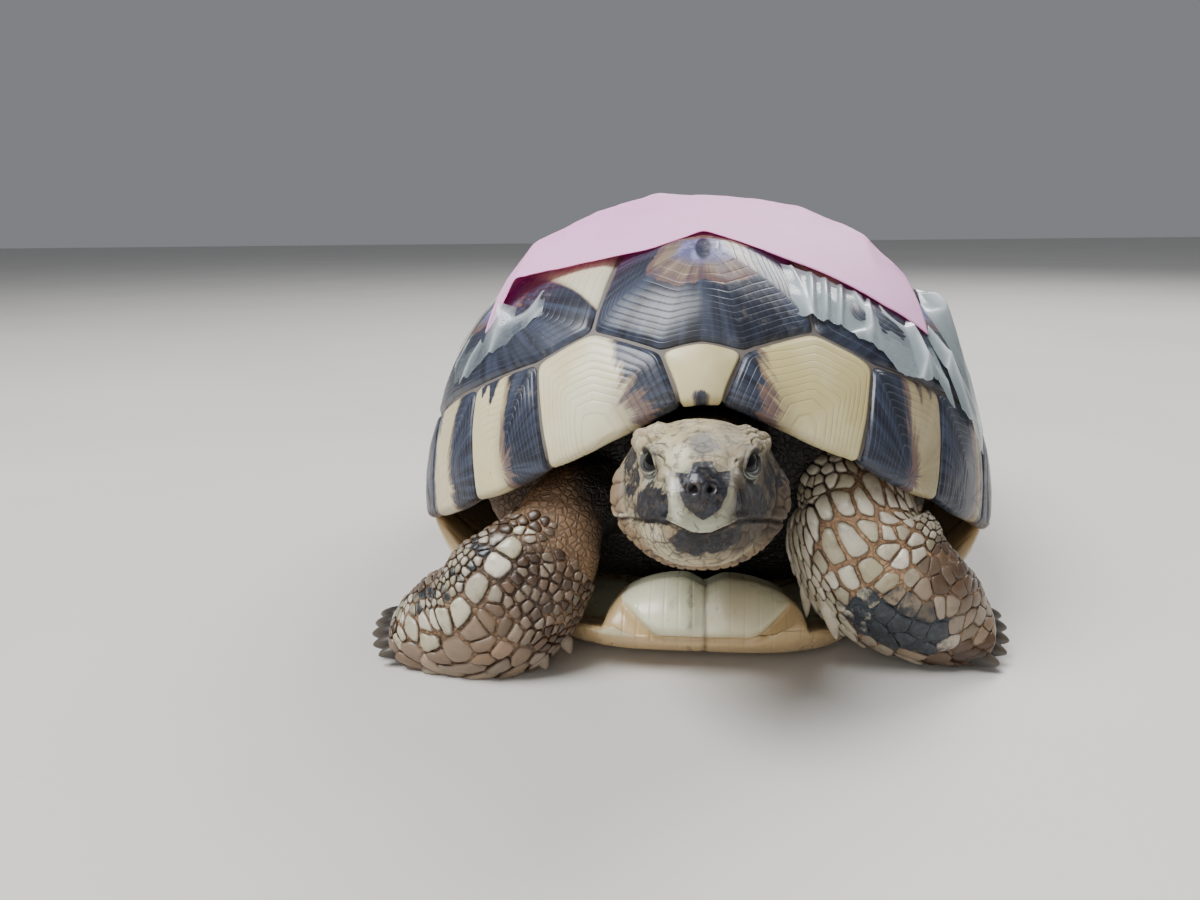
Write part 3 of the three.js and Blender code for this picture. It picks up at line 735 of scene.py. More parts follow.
def add_scute(shape, outline, areola, kind, seed):
    """A horn plate over the dome: rings of points from the areola to the border. It is crowned by
    H (1 - r^2.4), grooved at each growth ring and rolled down into the seam, and closed below."""
    form = kind if kind in SCUTE_FORM else kind.split("_")[0]
    at_rim = form.startswith(("marginal", "nuchal", "supracaudal"))
    crown, rings, depth, count, levels = SCUTE_FORM[form]
    if form == "marginal_1" and areola[0] > 0:
        depth = 0.03
    border = outline_points(outline, count)
    reach = border - areola
    border = areola + reach * (1 - SEAM / CHART_MM / np.linalg.norm(reach, axis=1, keepdims=True))
    share = np.linspace(0, 1, levels + 1)[1:] ** 0.85
    r = share[:, None] * np.ones(count)
    place = areola + share[:, None, None] * (border - areola)
    a, b = place[..., 0], place[..., 1]
    surface, normal = dome(a, b), dome_normal(a, b)
    away = border - areola
    angle = np.arctan2(away[:, 1], away[:, 0])[None, :] * np.ones_like(r)
    wander = 0.5 * waves(surface, 24.0, seed, 3)
    spread = r ** 1.8 if form == "vertebral_1" else smooth(0.1, 1.15, r) * 1.05
    count_field = rings * (form != "nuchal") * spread + wander
    groove = bell(np.abs((count_field + 0.5) % 1 - 0.5), 0.14) * smooth(0.2, 0.34, r)
    depth = depth * (form != "nuchal") * (1 + 0.5 * waves(surface, 14.0, seed + 90, 2))
    roll = smooth(0.0, 1.0, (r - 0.93) / 0.07) ** 2
    height = crown * (1 - r ** 2.4) - depth * groove - 0.5 * roll + 0.30
    height += 0.08 * waves(surface, 9.0, seed + 50, 2)
    top = surface + normal * height[..., None]
    middle_surface = dome(areola[0], areola[1])
    middle_normal = dome_normal(areola[0], areola[1])
    middle = middle_surface + middle_normal * (crown + 0.3)
    skirt = surface[-1] - normal[-1] * 0.9
    base = middle_surface - middle_normal * 2.2
    centre_reach = areola / max(np.linalg.norm(areola), 0.05)
    direction = unit(away)
    outward = (direction * unit(areola + 1e-6)).sum(-1) if np.linalg.norm(areola) > 0.08 else (
        np.abs(direction[:, 0]))
    ahead = -direction[:, 1]
    if at_rim:
        tangent = np.array([-centre_reach[1], centre_reach[0]])
        ahead = -(direction @ tangent) * np.sign(areola[0] if abs(areola[0]) > 1e-3 else 1)
    if form == "nuchal":
        ahead = outward
    own_side = np.sign(areola[0]) if abs(areola[0]) > 0.02 else 0
    dark, umber, cream = scute_marks(kind, own_side, r, ahead[None], outward[None], a, b, surface)
    spot = bell(surface[..., 0], 1.3) * bell((place - areola)[..., 1] * CHART_MM + 1.0, 3.4) if (
        kind == "vertebral_1") else 0.62 * bell(r / 0.15, 1.0) * (form[:4] in ("vert", "cost"))
    bare = 1.0 if kind in ("vertebral_1", "costal_1") else 0.55 * form.startswith(("vert", "cost"))
    areola_mask = (1 - smooth(0.16, 0.30, r)) * bare
    edge = smooth(0.985, 1.04, np.hypot(a, b)) * at_rim
    values = {"ring": r, "count": count_field, "east": np.cos(angle), "north": np.sin(angle),
              "seed": 0 * r + seed * 3.7, "dark": dark + 0 * r, "umber": umber + 0 * r,
              "cream": cream + 0 * r, "areola": areola_mask, "spot": spot * np.ones_like(r),
              "edge": 0.85 * edge}
    flat = {key: np.concatenate([value.ravel(), value[-1], value[0, :1], value[-1, :1]])
            for key, value in values.items()}
    flip = np.cross(away[0], away[count // 8]) > 0
    shape.add_tube(np.concatenate([top, skirt[None]]), [middle, base], flip, **flat)


def build_carapace():
    """The bed of the shell and three groups of scutes on it."""
    horn = material("shell_horn", shell_finish)
    groups = {"vertebral_scutes": Shape(), "costal_scutes": Shape(), "marginal_scutes": Shape()}
    for seed, (outline, areola, kind) in enumerate(carapace_layout()):
        key = kind.split("_")[0]
        group = f"{key}_scutes" if key in ("vertebral", "costal") else "marginal_scutes"
        add_scute(groups[group], outline, areola, kind, seed)
    for name, shape in groups.items():
        shape.build(name, "shell_horn", horn)
    bed = Shape()
    around = 160
    turn = np.linspace(-np.pi, np.pi, around, endpoint=False)
    outer = np.concatenate([np.linspace(0.04, 1.0, 26), np.linspace(1.004, 1.16, 12)])
    a, b = outer[:, None] * np.sin(turn), -outer[:, None] * np.cos(turn)
    shell = dome(a, b, -0.25)
    inner = np.linspace(1.0, 0.04, 14)[:, None]
    lining = dome(inner * np.sin(turn), -inner * np.cos(turn), -4.6)
    lining[..., 2] += 3.0 * inner ** 6
    rings = np.concatenate([shell, lining])
    under = np.concatenate([smooth(0.99, 1.02, outer), np.ones(14)])[:, None] * np.ones(around)
    bed.add_tube(rings, under=np.concatenate([under.ravel(), [0, 1]]))
    bed.build("shell_bed", "shell_horn", material("shell_bed_finish", seam_finish), ("carapace",))


build_carapace()


# ---------------------------------------------------------------- the plastron
PLASTRON_FRONT, PLASTRON_BACK, BRIDGE_FRONT, BRIDGE_BACK = -67.0, 63.0, -31.0, 35.0
BRIDGE_HALF, FLAT_HALF = 54.0, 33.0
MIDLINE = 1.1                    # the middle seam runs a little to the left of the middle


def lobe_half(y):
    """Half width of the front and hind lobes of the plastron."""
    front = 22 + 16 * smooth(PLASTRON_FRONT, -32, y)
    rounding = np.sqrt(np.clip(1 - ((y - PLASTRON_FRONT - 14) / 14) ** 2, 0, 1))
    front = np.where(y < PLASTRON_FRONT + 14, front * lerp(0.62, 1, rounding), front)
    return np.where(y < 0, front, 39 - 21 * smooth(34, PLASTRON_BACK, y))


def bridge_share(y):
    """1 along the bridge between the legs, falling to 0 over 9 mm before and behind it."""
    return smooth(BRIDGE_FRONT - 9, BRIDGE_FRONT, y) * (1 - smooth(BRIDGE_BACK, BRIDGE_BACK + 9, y))


def belly_finish(t):
    """Pale horn with a tan front from wear, painted shade in tan over the gular lobe on the
    tortoise's left, growth lines and a dark cloud on each scute.
    """
    place = t.place()
    cloud = t.noise(place, 70.0, 4.0, 0.6)
    fine = t.noise(place, 600.0, 4.0, 0.65)
    smudge = t.plus("dark", t.swing(t.noise(place, 240.0, 5.0, 0.7), 1.6))
    colour = t.coats(
        t.mix(t.step(cloud, 0.35, 0.65), (206, 206, 172), (224, 220, 190)),
        (t.step(t.plus("worn", t.times(cloud, 0.4)), 0.3, 0.95), 1,
         t.mix(cloud, (176, 146, 102), (204, 178, 132))),
        (t.step(smudge, 0.0, 0.5), 0.85, (72, 66, 62)), ("seam", 0.75, (96, 70, 48)),
        (t.step(fine, 0.55, 0.8), 0.3, (128, 118, 96)))
    ring = t.group(RINGS, {"count": "count", "wander": cloud, "width": 0.16}, "height")
    return {"Base Color": colour, "Roughness": t.step(cloud, 0.2, 0.8, 0.22, 0.42),
            "Normal": t.bump(0.35, 0.0002, t.plus(ring, t.times(fine, 0.4))),
            "Coat Weight": 0.2, "Coat Roughness": 0.2}


def build_plastron():
    """Two sheets, above and below, that meet in a rounded border. The gular lip is thick, swells
    forward in two lobes either side of the middle seam, and overhangs a tan ledge."""
    across, along = 150, 190
    u = np.sin(np.linspace(-1, 1, across) * np.pi / 2)
    v = 0.5 + 0.5 * np.sin(np.linspace(-1, 1, along) * np.pi / 2)
    s, v = np.meshgrid(u, v)
    y = lerp(PLASTRON_FRONT, PLASTRON_BACK, v)
    bridge = bridge_share(y)
    half = lerp(lobe_half(y), BRIDGE_HALF, bridge)
    x = half * s
    throat = 4 * (1 - smooth(PLASTRON_FRONT - 1, PLASTRON_FRONT + 15, y)) ** 1.5
    sideways = np.maximum(np.abs(x) - FLAT_HALF, 0)
    low = (throat + 4.5 * smooth(40, PLASTRON_BACK, y) ** 1.4 + 0.0305 * bridge * sideways ** 2
           + 2.2 * (1 - bridge) * np.abs(s) ** 5)
    lobe = np.abs(x - MIDLINE)
    swell = smooth(-71, -60, y) * (1 - smooth(-55, -42, y))
    bulge = np.sqrt(np.clip(1 - (lobe / 17.0) ** 2.6, 0, 1))
    pad = 9.8 * swell * bulge - 1.5 * bell(lobe, 2.2) * swell
    wall = 4.2 - 1.4 * (1 - smooth(-70, -56, y)) + pad
    edge = np.minimum(half * (1 - np.abs(s)), np.minimum(y - PLASTRON_FRONT, PLASTRON_BACK - y))
    radius = 2.0 + 2.6 * (1 - smooth(-66, -50, y))
    full = np.sqrt(np.clip(1 - (1 - np.minimum(edge / radius, 1)) ** 2, 0.004, 1))
    middle, thick = low + wall / 2, wall / 2 * full

    wander = 0.5 * waves(np.stack([x, y], -1), 26.0, 5, 2)
    gular = y + 50 - 0.95 * lobe + wander
    crosses = [gular, y + 32 - 0.12 * np.abs(x) + wander, y + 3 + wander - 0.02 * np.abs(x),
               y - 34 + 0.12 * np.abs(x) + wander, y - 49 + 0.35 * np.abs(x) + wander]
    seams = bell(x - MIDLINE - 0.6 * wander, 0.36)
    for line in crosses:
        seams = np.maximum(seams, bell(line, 0.42))
    seams = np.maximum(seams, bell(np.abs(x) - 40 + 2 * bridge - 0.02 * y + wander, 0.42) * bridge)
    order = np.stack(crosses)
    band = (order > 0).sum(0)
    near = np.abs(order).min(0)
    count = np.minimum(near, np.abs(x - MIDLINE)) / 2.3
    in_band = np.exp(-((near - 9) / 6.0) ** 2)
    cloud = in_band * bell(np.abs(x) - 17, 9.0) * (band > 0) * (band < 5)
    smudge = 1.2 * bell(x - MIDLINE + 2.4, 1.5) * smooth(-67.5, -66, y) * (1 - smooth(-60, -55, y))
    dark = -0.9 + 1.35 * cloud + smudge
    shape = Shape()
    sheets = []
    for sign in (1, -1):
        z = middle + sign * thick
        face = smooth(0, 1, (PLASTRON_FRONT + 7 - y) / 7)
        crease = 6.6 + 5.5 * smooth(7, 16, lobe)
        fore = 2.8 * face * smooth(crease - 0.4, crease + 2.6, z) * bell(z - 12.0, 5.0) * bulge * (
            1 - 0.6 * bell(lobe, 1.8))
        ledge = 1.1 * face * bell(z - crease, 0.8) * smooth(18, 15, lobe)
        z = np.maximum(z - sign * 0.30 * seams, 0.02)
        sheets.append(np.stack([x, y - fore + ledge, z], -1))
    ledge_top = (1 - smooth(-58, -50, y)) * smooth(0.8, -0.6, sheets[0][..., 2] - crease)
    under_front = (1 - smooth(-64, -50, y)) * (1 - smooth(5.6, 7.4, sheets[1][..., 2]))
    worn = np.stack([ledge_top + 0.9 * bridge, 0.35 + 0.9 * under_front])
    # Painted shade: the gular lobe on the tortoise's left, which lies in shade, is drawn tan.
    left_lobe_shade = 0.35 * smooth(1, 6, x) * (1 - smooth(-60, -50, y))
    shape.add(np.stack(sheets), sheet_faces(along, across),
              seam=np.stack([seams, seams]), dark=np.stack([dark * 0 - 1 + smudge, dark]),
              worn=worn + left_lobe_shade, count=np.stack([count, count]))
    shape.build("plastron_horn", "belly_horn", material("belly_horn", belly_finish), ("plastron",))


build_plastron()


# ---------------------------------------------------------------- limbs
class Limb:
    """A smooth tube of oval sections. Places on it are given by s, the share of its length from 0
    to 1, and a turn round it, 0 on the side the wide axis points to."""

    def __init__(self, stations, across, end_rounding=0.0, power=0.9):
        t = np.linspace(0, 1, 241)
        centre = catmull([station[0] for station in stations], t)
        sizes = catmull([station[1:3] for station in stations], t)
        widest = catmull([station[3] if len(station) > 3 else across for station in stations], t)
        along = unit(np.gradient(centre, axis=0))
        thick_axis = unit(np.cross(along, widest))
        step = np.linalg.norm(np.diff(centre, axis=0), axis=1)
        length = np.concatenate([[0], np.cumsum(step)])
        self.length, self.power, self.known = length[-1], power, length / length[-1]
        left = (length[-1] - length) / max(end_rounding, 1e-6)
        round_off = np.sqrt(np.clip(1 - (1 - np.minimum(left, 1)) ** 2, 0.0025, 1))
        sizes = sizes * (round_off if end_rounding else 1 + 0 * left)[:, None]
        self.table = np.concatenate([centre, np.cross(thick_axis, along), thick_axis, sizes], -1)

    def girth(self, s):
        """Mean radius at s, mm."""
        at = [np.interp(s, self.known, self.table[:, k]) for k in (9, 10)]
        return np.sqrt((at[0] ** 2 + at[1] ** 2) / 2)

    def surface(self, s, turn, lift=0.0):
        at = np.stack([np.interp(s, self.known, column) for column in self.table.T], -1)
        wide = (at[..., 9] * signed_power(np.cos(turn), self.power))[..., None]
        thick = (at[..., 10] * signed_power(np.sin(turn), self.power))[..., None]
        place = at[..., :3] + at[..., 3:6] * wide + at[..., 6:9] * thick
        out = unit(at[..., 3:6] * (wide / at[..., 9:10] ** 2)
                   + at[..., 6:9] * (thick / at[..., 10:11] ** 2))
        return place + out * np.asarray(lift)[..., None]

    def add_to(self, shape, rows, around, ripple=None):
        """Adds the closed tube; ripple(places) lifts it."""
        s, turn = tube_grid(rows, around)
        points = self.surface(s, turn)
        shape.add_tube(points if ripple is None else self.surface(s, turn, ripple(points)))


FORELEGS = {
    1: Limb([((19.5, -40, 26), 8, 8), ((24, -48.5, 27.5), 8, 7.6), ((26.2, -54.2, 26.3), 9.0, 7.2),
             ((26.4, -57.4, 22.0), 11.5, 7.4), ((30.9, -58.4, 15.5), 11.9, 7.2),
             ((36.9, -57.9, 11.0), 10.2, 7), ((42.6, -56, 7.8), 8.4, 6.2, (0.6, 0.5, 0.5)),
             ((47, -54.8, 5.4), 7.0, 4.6, (0.35, 0.85, 0.3)),
             ((50.2, -54.4, 4.3), 5.6, 3.6, (0.3, 0.9, 0.3))], (0.74, 0.1, 0.66), 3.0),
    -1: Limb([((-15, -40, 27), 9, 8.5), ((-19, -49, 26.6), 8, 7.6), ((-22.9, -56, 24.8), 7.2, 7.2),
              ((-26.0, -61.1, 18.8), 9.6, 7.2), ((-31.1, -65, 12.9), 11.7, 7),
              ((-37.1, -65.6, 8.6), 10.8, 7), ((-44, -63.6, 6.6), 8.6, 6.2, (-0.6, 0.5, 0.5)),
              ((-49.5, -61.8, 4.9), 7.0, 4.6, (-0.4, 0.85, 0.3)),
              ((-53.4, -61.2, 4.0), 5.8, 3.6, (-0.3, 0.9, 0.3))], (-0.74, 0.1, 0.66), 3.2),
}
HINDLEGS = {side: Limb([((side * 20, 36, 20), 12, 10), ((side * 29, 44, 18), 11.5, 9),
                        ((side * 36, 49, 14.5), 10.2, 8), ((side * 39, 50, 10), 9, 7.4),
                        ((side * 41.5, 49, 5.8), 8.6, 7.4), ((side * 43, 47.5, 2.2), 7.8, 7)],
                       (side * 0.35, 0.9, 0.1), 3.2) for side in (1, -1)}
NECK = Limb([((0, -36, 33), 12.5, 11), ((0, -50, 34.4), 11.4, 9.8), ((0, -58, 34.8), 10.4, 8.8),
             ((0, -68, 35.2), 10, 8)], (1, 0, 0))
TAIL = Limb([((0, 48, 17), 7.5, 6.5), ((0.8, 58, 15), 5.8, 5.2), ((2.6, 64.5, 11), 4.2, 3.9),
             ((5.2, 68.5, 7), 2.7, 2.5), ((7.6, 70, 4.2), 1.3, 1.3)], (1, 0, 0), 1.2)

# Stations of the head: y, half width, crown height, chin height.
HEAD = np.array([(-93.7, 2.2, 39.4, 35.2), (-93.4, 3.5, 40.8, 33.2), (-92.4, 4.8, 41.9, 31.0),
                 (-90.4, 6.1, 43.1, 29.0), (-87.4, 7.6, 44.2, 27.3), (-83.6, 9.2, 45.2, 26.2),
                 (-79.4, 11.0, 45.8, 25.5), (-75.0, 12.4, 45.6, 25.6), (-70.0, 12.2, 44.4, 26.6),
                 (-65.0, 10.5, 42.4, 27.8)])
EYE_AT, EYE_RADIUS = np.array([5.1, -83.8, 41.0]), 2.8
GAZE = np.array([0.82, -0.50, 0.28]) / np.linalg.norm([0.82, -0.50, 0.28])
LID_LINE = np.array([-0.32, -0.91, -0.27])      # from the rear corner of the eye to the front one


def head_surface(t, turn):
    """Squarish sections through the head stations, squarest at the brows, with temples that are
    drawn in above a wide jaw."""
    y, half, crown, chin = np.moveaxis(catmull(HEAD, t), -1, 0)
    middle = lerp(chin, crown, 0.44)
    up = np.sin(turn)
    square = smooth(-91, -80, y)
    side = half * signed_power(np.cos(turn), np.where(up > 0, lerp(0.62, 0.46, square), 0.80))
    side = side * (1 - 0.08 * bell(up - 0.42, 0.36) * smooth(-87, -79, y))
    side = side * (1 - 0.10 * smooth(0, 0.8, up))
    reach = np.where(up > 0, crown - middle, middle - chin)
    arch = 1.4 * smooth(0.12, 0.62, np.abs(side) / half) * smooth(0.5, 0.9, up)
    z = middle + reach * signed_power(up, np.where(up > 0, 0.66, 0.9)) - arch
    return np.stack([side, y, z], -1)


# ---------------------------------------------------------------- one skin over all the flesh
def add_block(shape, centre, half, power):
    """Superellipsoid of half sizes `half` about centre."""
    lift, turn = tube_grid(40, 80, -0.49 * np.pi, 0.49 * np.pi)
    e = 2 / power
    flat = signed_power(np.cos(lift), e)
    block = centre + np.stack([half[0] * flat * signed_power(np.cos(turn), e),
                               half[1] * flat * signed_power(np.sin(turn), e),
                               half[2] * signed_power(np.sin(lift), e)], -1)
    shape.add_tube(block)


def flesh():
    """All the fleshy parts, overlapping, as closed surfaces."""
    shape = Shape()
    for limb in FORELEGS.values():
        limb.add_to(shape, 90, 56)
    for limb in HINDLEGS.values():
        limb.add_to(shape, 60, 48)

    def neck_folds(points):
        folds = np.sin(points[..., 1] * 1.15 + 0.9 * waves(points, 16.0, 3, 2))
        return 0.55 * folds + 0.4 * waves(points, 9.0, 4, 2)

    NECK.add_to(shape, 70, 72, neck_folds)
    TAIL.add_to(shape, 50, 32)
    shape.add_tube(head_surface(*tube_grid(70, 96)))
    add_block(shape, (0, -42, 32), (41, 9, 24), 2.8)
    add_block(shape, (0, 45, 30), (40, 9, 22), 2.8)
    spine = Limb([((0, y, 30), 5, 5) for y in (-45, 0, 48)], (1, 0, 0))
    spine.add_to(shape, 30, 16)
    return shape


def refine(mesh, chosen):
    """Splits each chosen face into four, with a clean border to its neighbours."""
    work = bmesh.new()
    work.from_mesh(mesh)
    work.faces.ensure_lookup_table()
    edges = {edge for face in np.flatnonzero(chosen) for edge in work.faces[int(face)].edges}
    bmesh.ops.subdivide_edges(work, edges=list(edges), cuts=1, use_grid_fill=True, smooth=0.0)
    work.to_mesh(mesh)
    work.free()


MELT_GRID = 0.95                 # mm


def base_skin():
    """Melts the flesh into one surface on a fine grid, smooths it, and refines the head."""
    rough = flesh().build("skin", "skin", None)
    shell = rough.modifiers.new("melt", "REMESH")
    shell.mode, shell.voxel_size, shell.adaptivity = "VOXEL", MELT_GRID * MM, 0.0
    soften = rough.modifiers.new("soften", "SMOOTH")
    soften.factor, soften.iterations = 0.5, 7
    melted = rough.evaluated_get(bpy.context.evaluated_depsgraph_get())
    made = bpy.data.meshes.new_from_object(melted)
    rough.modifiers.clear()
    rough.data = made
    for nape in (-66, -70):
        x, y, z = read_places(made.polygons, "center").T / MM
        refine(made, (y < nape) & (np.abs(x) < 14.2) & (z > 23))
    beside = read_places(made.polygons, "center") / MM
    beside[:, 0] = np.abs(beside[:, 0])
    refine(made, np.linalg.norm(beside - EYE_AT, axis=1) < 4.4)
    return rough


def near_line(places, line):
    """Distance of each place from a line of straight pieces."""
    best = np.full(len(places), 1e9)
    for start, end in zip(line[:-1], line[1:]):
        start, along = np.array(start), np.array(end) - np.array(start)
        share = np.clip((places - start) @ along / (along @ along), 0, 1)
        best = np.minimum(best, np.linalg.norm(places - start - share[:, None] * along, axis=1))
    return best


def eye_lids(places):
    """Shapes the skin round each eye. In angles about the eye, U along the lid line and W across it,
    the opening is |W| < 0.46 (1 - (U / 0.98)^2). Inside it the skin sinks below the eyeball. Round
    it stands the lid margin, heavier above, and pale pleats run below. The skin beyond covers the
    eyeball. Gives the new places, the dark lining, the socket and its pleats."""
    away = places * np.where(places[:, :1] < 0, (-1, 1, 1), 1) - EYE_AT
    distance = np.linalg.norm(away, axis=1)
    d = away / distance[:, None]
    first = unit(LID_LINE - (LID_LINE @ GAZE) * GAZE)
    second = np.cross(first, GAZE)
    second = second * np.sign(second[2])
    facing = np.maximum(d @ GAZE, 0.15)
    along, across = d @ first / facing, d @ second / facing
    gap = np.abs(across) - 0.46 * (1 - (along / 0.98) ** 2)
    above = smooth(-0.1, 0.25, across)
    rim = EYE_RADIUS + lerp(0.40, 0.85, above) * bell(gap - 0.15, 0.17) + 0.12
    rim = rim + 0.55 * above * smooth(0.2, 0.5, gap)
    reach = np.hypot(along * 0.78, across)
    pleats = np.zeros(len(places))
    for pleat in (0.70, 0.92, 1.16):
        pleats = np.maximum(pleats, (1 - above) * bell(reach - pleat, 0.055))
        rim = rim + (1 - above) * (0.13 * bell(reach - pleat, 0.07)
                                   - 0.13 * bell(reach - pleat - 0.11, 0.05))
    rim = lerp(EYE_RADIUS - 0.55, rim, smooth(-0.10, 0.03, gap))
    share = (1 - smooth(0.85, 1.45, np.hypot(along * 0.75, across))) * smooth(0.25, 0.4, d @ GAZE)
    share = share * smooth(EYE_RADIUS + 3.6, EYE_RADIUS + 2.4, distance)
    share = share * smooth(0.4, 0.8, distance)
    new_distance = lerp(distance, rim, share)
    over_ball = EYE_RADIUS + 0.22
    covered = over_ball + 0.2 * np.logaddexp(0, (new_distance - over_ball) / 0.2)
    new_distance = lerp(new_distance, covered, smooth(0.02, 0.14, gap))
    here = EYE_AT + d * new_distance[:, None]
    here[:, 0] *= np.sign(places[:, 0] + 1e-9)
    lining = share * smooth(0.16, 0.02, gap)
    socket = share * smooth(1.5, 1.1, reach) * smooth(0.05, 0.16, gap) * lerp(1.0, 0.55, above)
    return here, lining, socket, pleats * share


def scatter(places, spacing, seed):
    """Seeds picked from places so that each keeps its own spacing from all picked before it."""
    draw = np.random.default_rng(seed)
    order = draw.permutation(len(places))[:9000]
    picked, room = [places[order[0]]], [spacing[order[0]]]
    for k in order[1:]:
        gap = np.linalg.norm(np.array(picked) - places[k], axis=1)
        if (gap > 0.5 * (np.array(room) + spacing[k])).all():
            picked.append(places[k])
            room.append(spacing[k])
    return np.array(picked), np.array(room)


def cell_edges(places, seeds, room):
    """Nearness of each place to its cell border, 0 on it: half of F2 - F1, the two smallest of the
    distances to the seeds divided by their spacings. Also the number of the nearest seed."""
    edge, owner = np.empty(len(places)), np.empty(len(places), int)
    for start in range(0, len(places), 6000):
        part = places[start:start + 6000]
        far = np.linalg.norm(part[:, None] - seeds[None], axis=2) / room
        two = np.partition(far, 1, axis=1)[:, :2]
        edge[start:start + 6000] = (two[:, 1] - two[:, 0]) * 0.5
        owner[start:start + 6000] = far.argmin(axis=1)
    return edge, owner


def mouth_height(side, y):
    """Height of the mouth line: dipped under the beak, raised beside it, falling to the corner."""
    front = np.interp(side, [0, 1.2, 2.8, 4.4, 6.4, 8.2, 10, 13],
                      [34.0, 34.1, 34.8, 35.4, 34.9, 33.5, 32.6, 32])
    return front - 0.10 * np.maximum(y + 86, 0)


# Lines on one side of the head: (distance from the middle, y, z).
BROW_EDGE = [(8.9, -76.0, 42.9), (8.1, -79.8, 43.1), (7.1, -83.4, 42.8), (6.0, -87.0, 42.1),
             (5.2, -89.4, 41.2)]
NOSE_RIDGE = [(4.3, -86.0, 44.2), (4.5, -89.2, 42.8), (4.1, -91.4, 40.6), (3.6, -92.6, 38.4),
              (2.8, -93.2, 36.6)]
BROW_CREASE = [(3.2, -80.8, 45.4), (5.0, -83.8, 44.4), (5.3, -87.4, 43.0), (5.0, -90.4, 40.8),
               (5.2, -91.0, 38.2), (5.0, -91.2, 36.2)]
CROWN_CREASES = [
    [(-2.6, -84.6, 45.1), (-1.6, -82.9, 45.4), (0.6, -82.2, 45.5), (2.8, -82.9, 45.4),
     (3.6, -84.4, 45.0)],
    [(-2.6, -84.6, 45.1), (-1.2, -87.4, 44.3), (0.3, -88.6, 43.9), (2.2, -87.0, 44.4),
     (3.6, -84.4, 45.0)],
    [(0.3, -88.6, 43.9), (0.4, -91.0, 42.8)],
]


# Big shields of the crown: x, y, z and size.
CROWN_SHIELDS = np.array([
    (0.35, -84.9, 45.0, 3.6), (3.1, -88.6, 43.3, 4.2), (-2.5, -88.6, 43.3, 4.2),
    (0.4, -90.6, 42.9, 2.2), (0.5, -81.2, 45.6, 3.4), (3.6, -84.6, 44.8, 2.2),
    (-3.0, -84.6, 44.8, 2.2)])
# Heights of the black nose patch, and its half width at each.
NOSE_PATCH = [[35.8, 36.0, 36.7, 37.6, 39.2, 41.5, 41.8, 42.9, 43.3],
              [-1.5, 0, 1.2, 2.2, 3.0, 3.6, 1.9, 1.3, -1.0]]
MOUTH_CORNER = [(8.6, -84.0, 33.4), (6.4, -88.5, 34.4), (4.4, -91.5, 34.6)]
# Mounds and one hollow on each side of the head: middle, size along each axis, height.
HEAD_MOUNDS = [
    ((7.0, -80.6, 44.2), (2.4, 4.6, 1.9), 0.5), ((2.9, -88.3, 43.5), (1.7, 2.8, 1.5), 0.30),
    ((0.0, -84.5, 45.2), (2.4, 2.6, 2.0), 0.20), ((11.4, -78.0, 33.0), (3.5, 4.5, 4.5), 0.7),
    ((6.8, -89.5, 37.2), (2.4, 3.5, 2.4), 0.30), ((9.6, -81.5, 38.4), (3.2, 3.6, 2.4), -0.45),
]


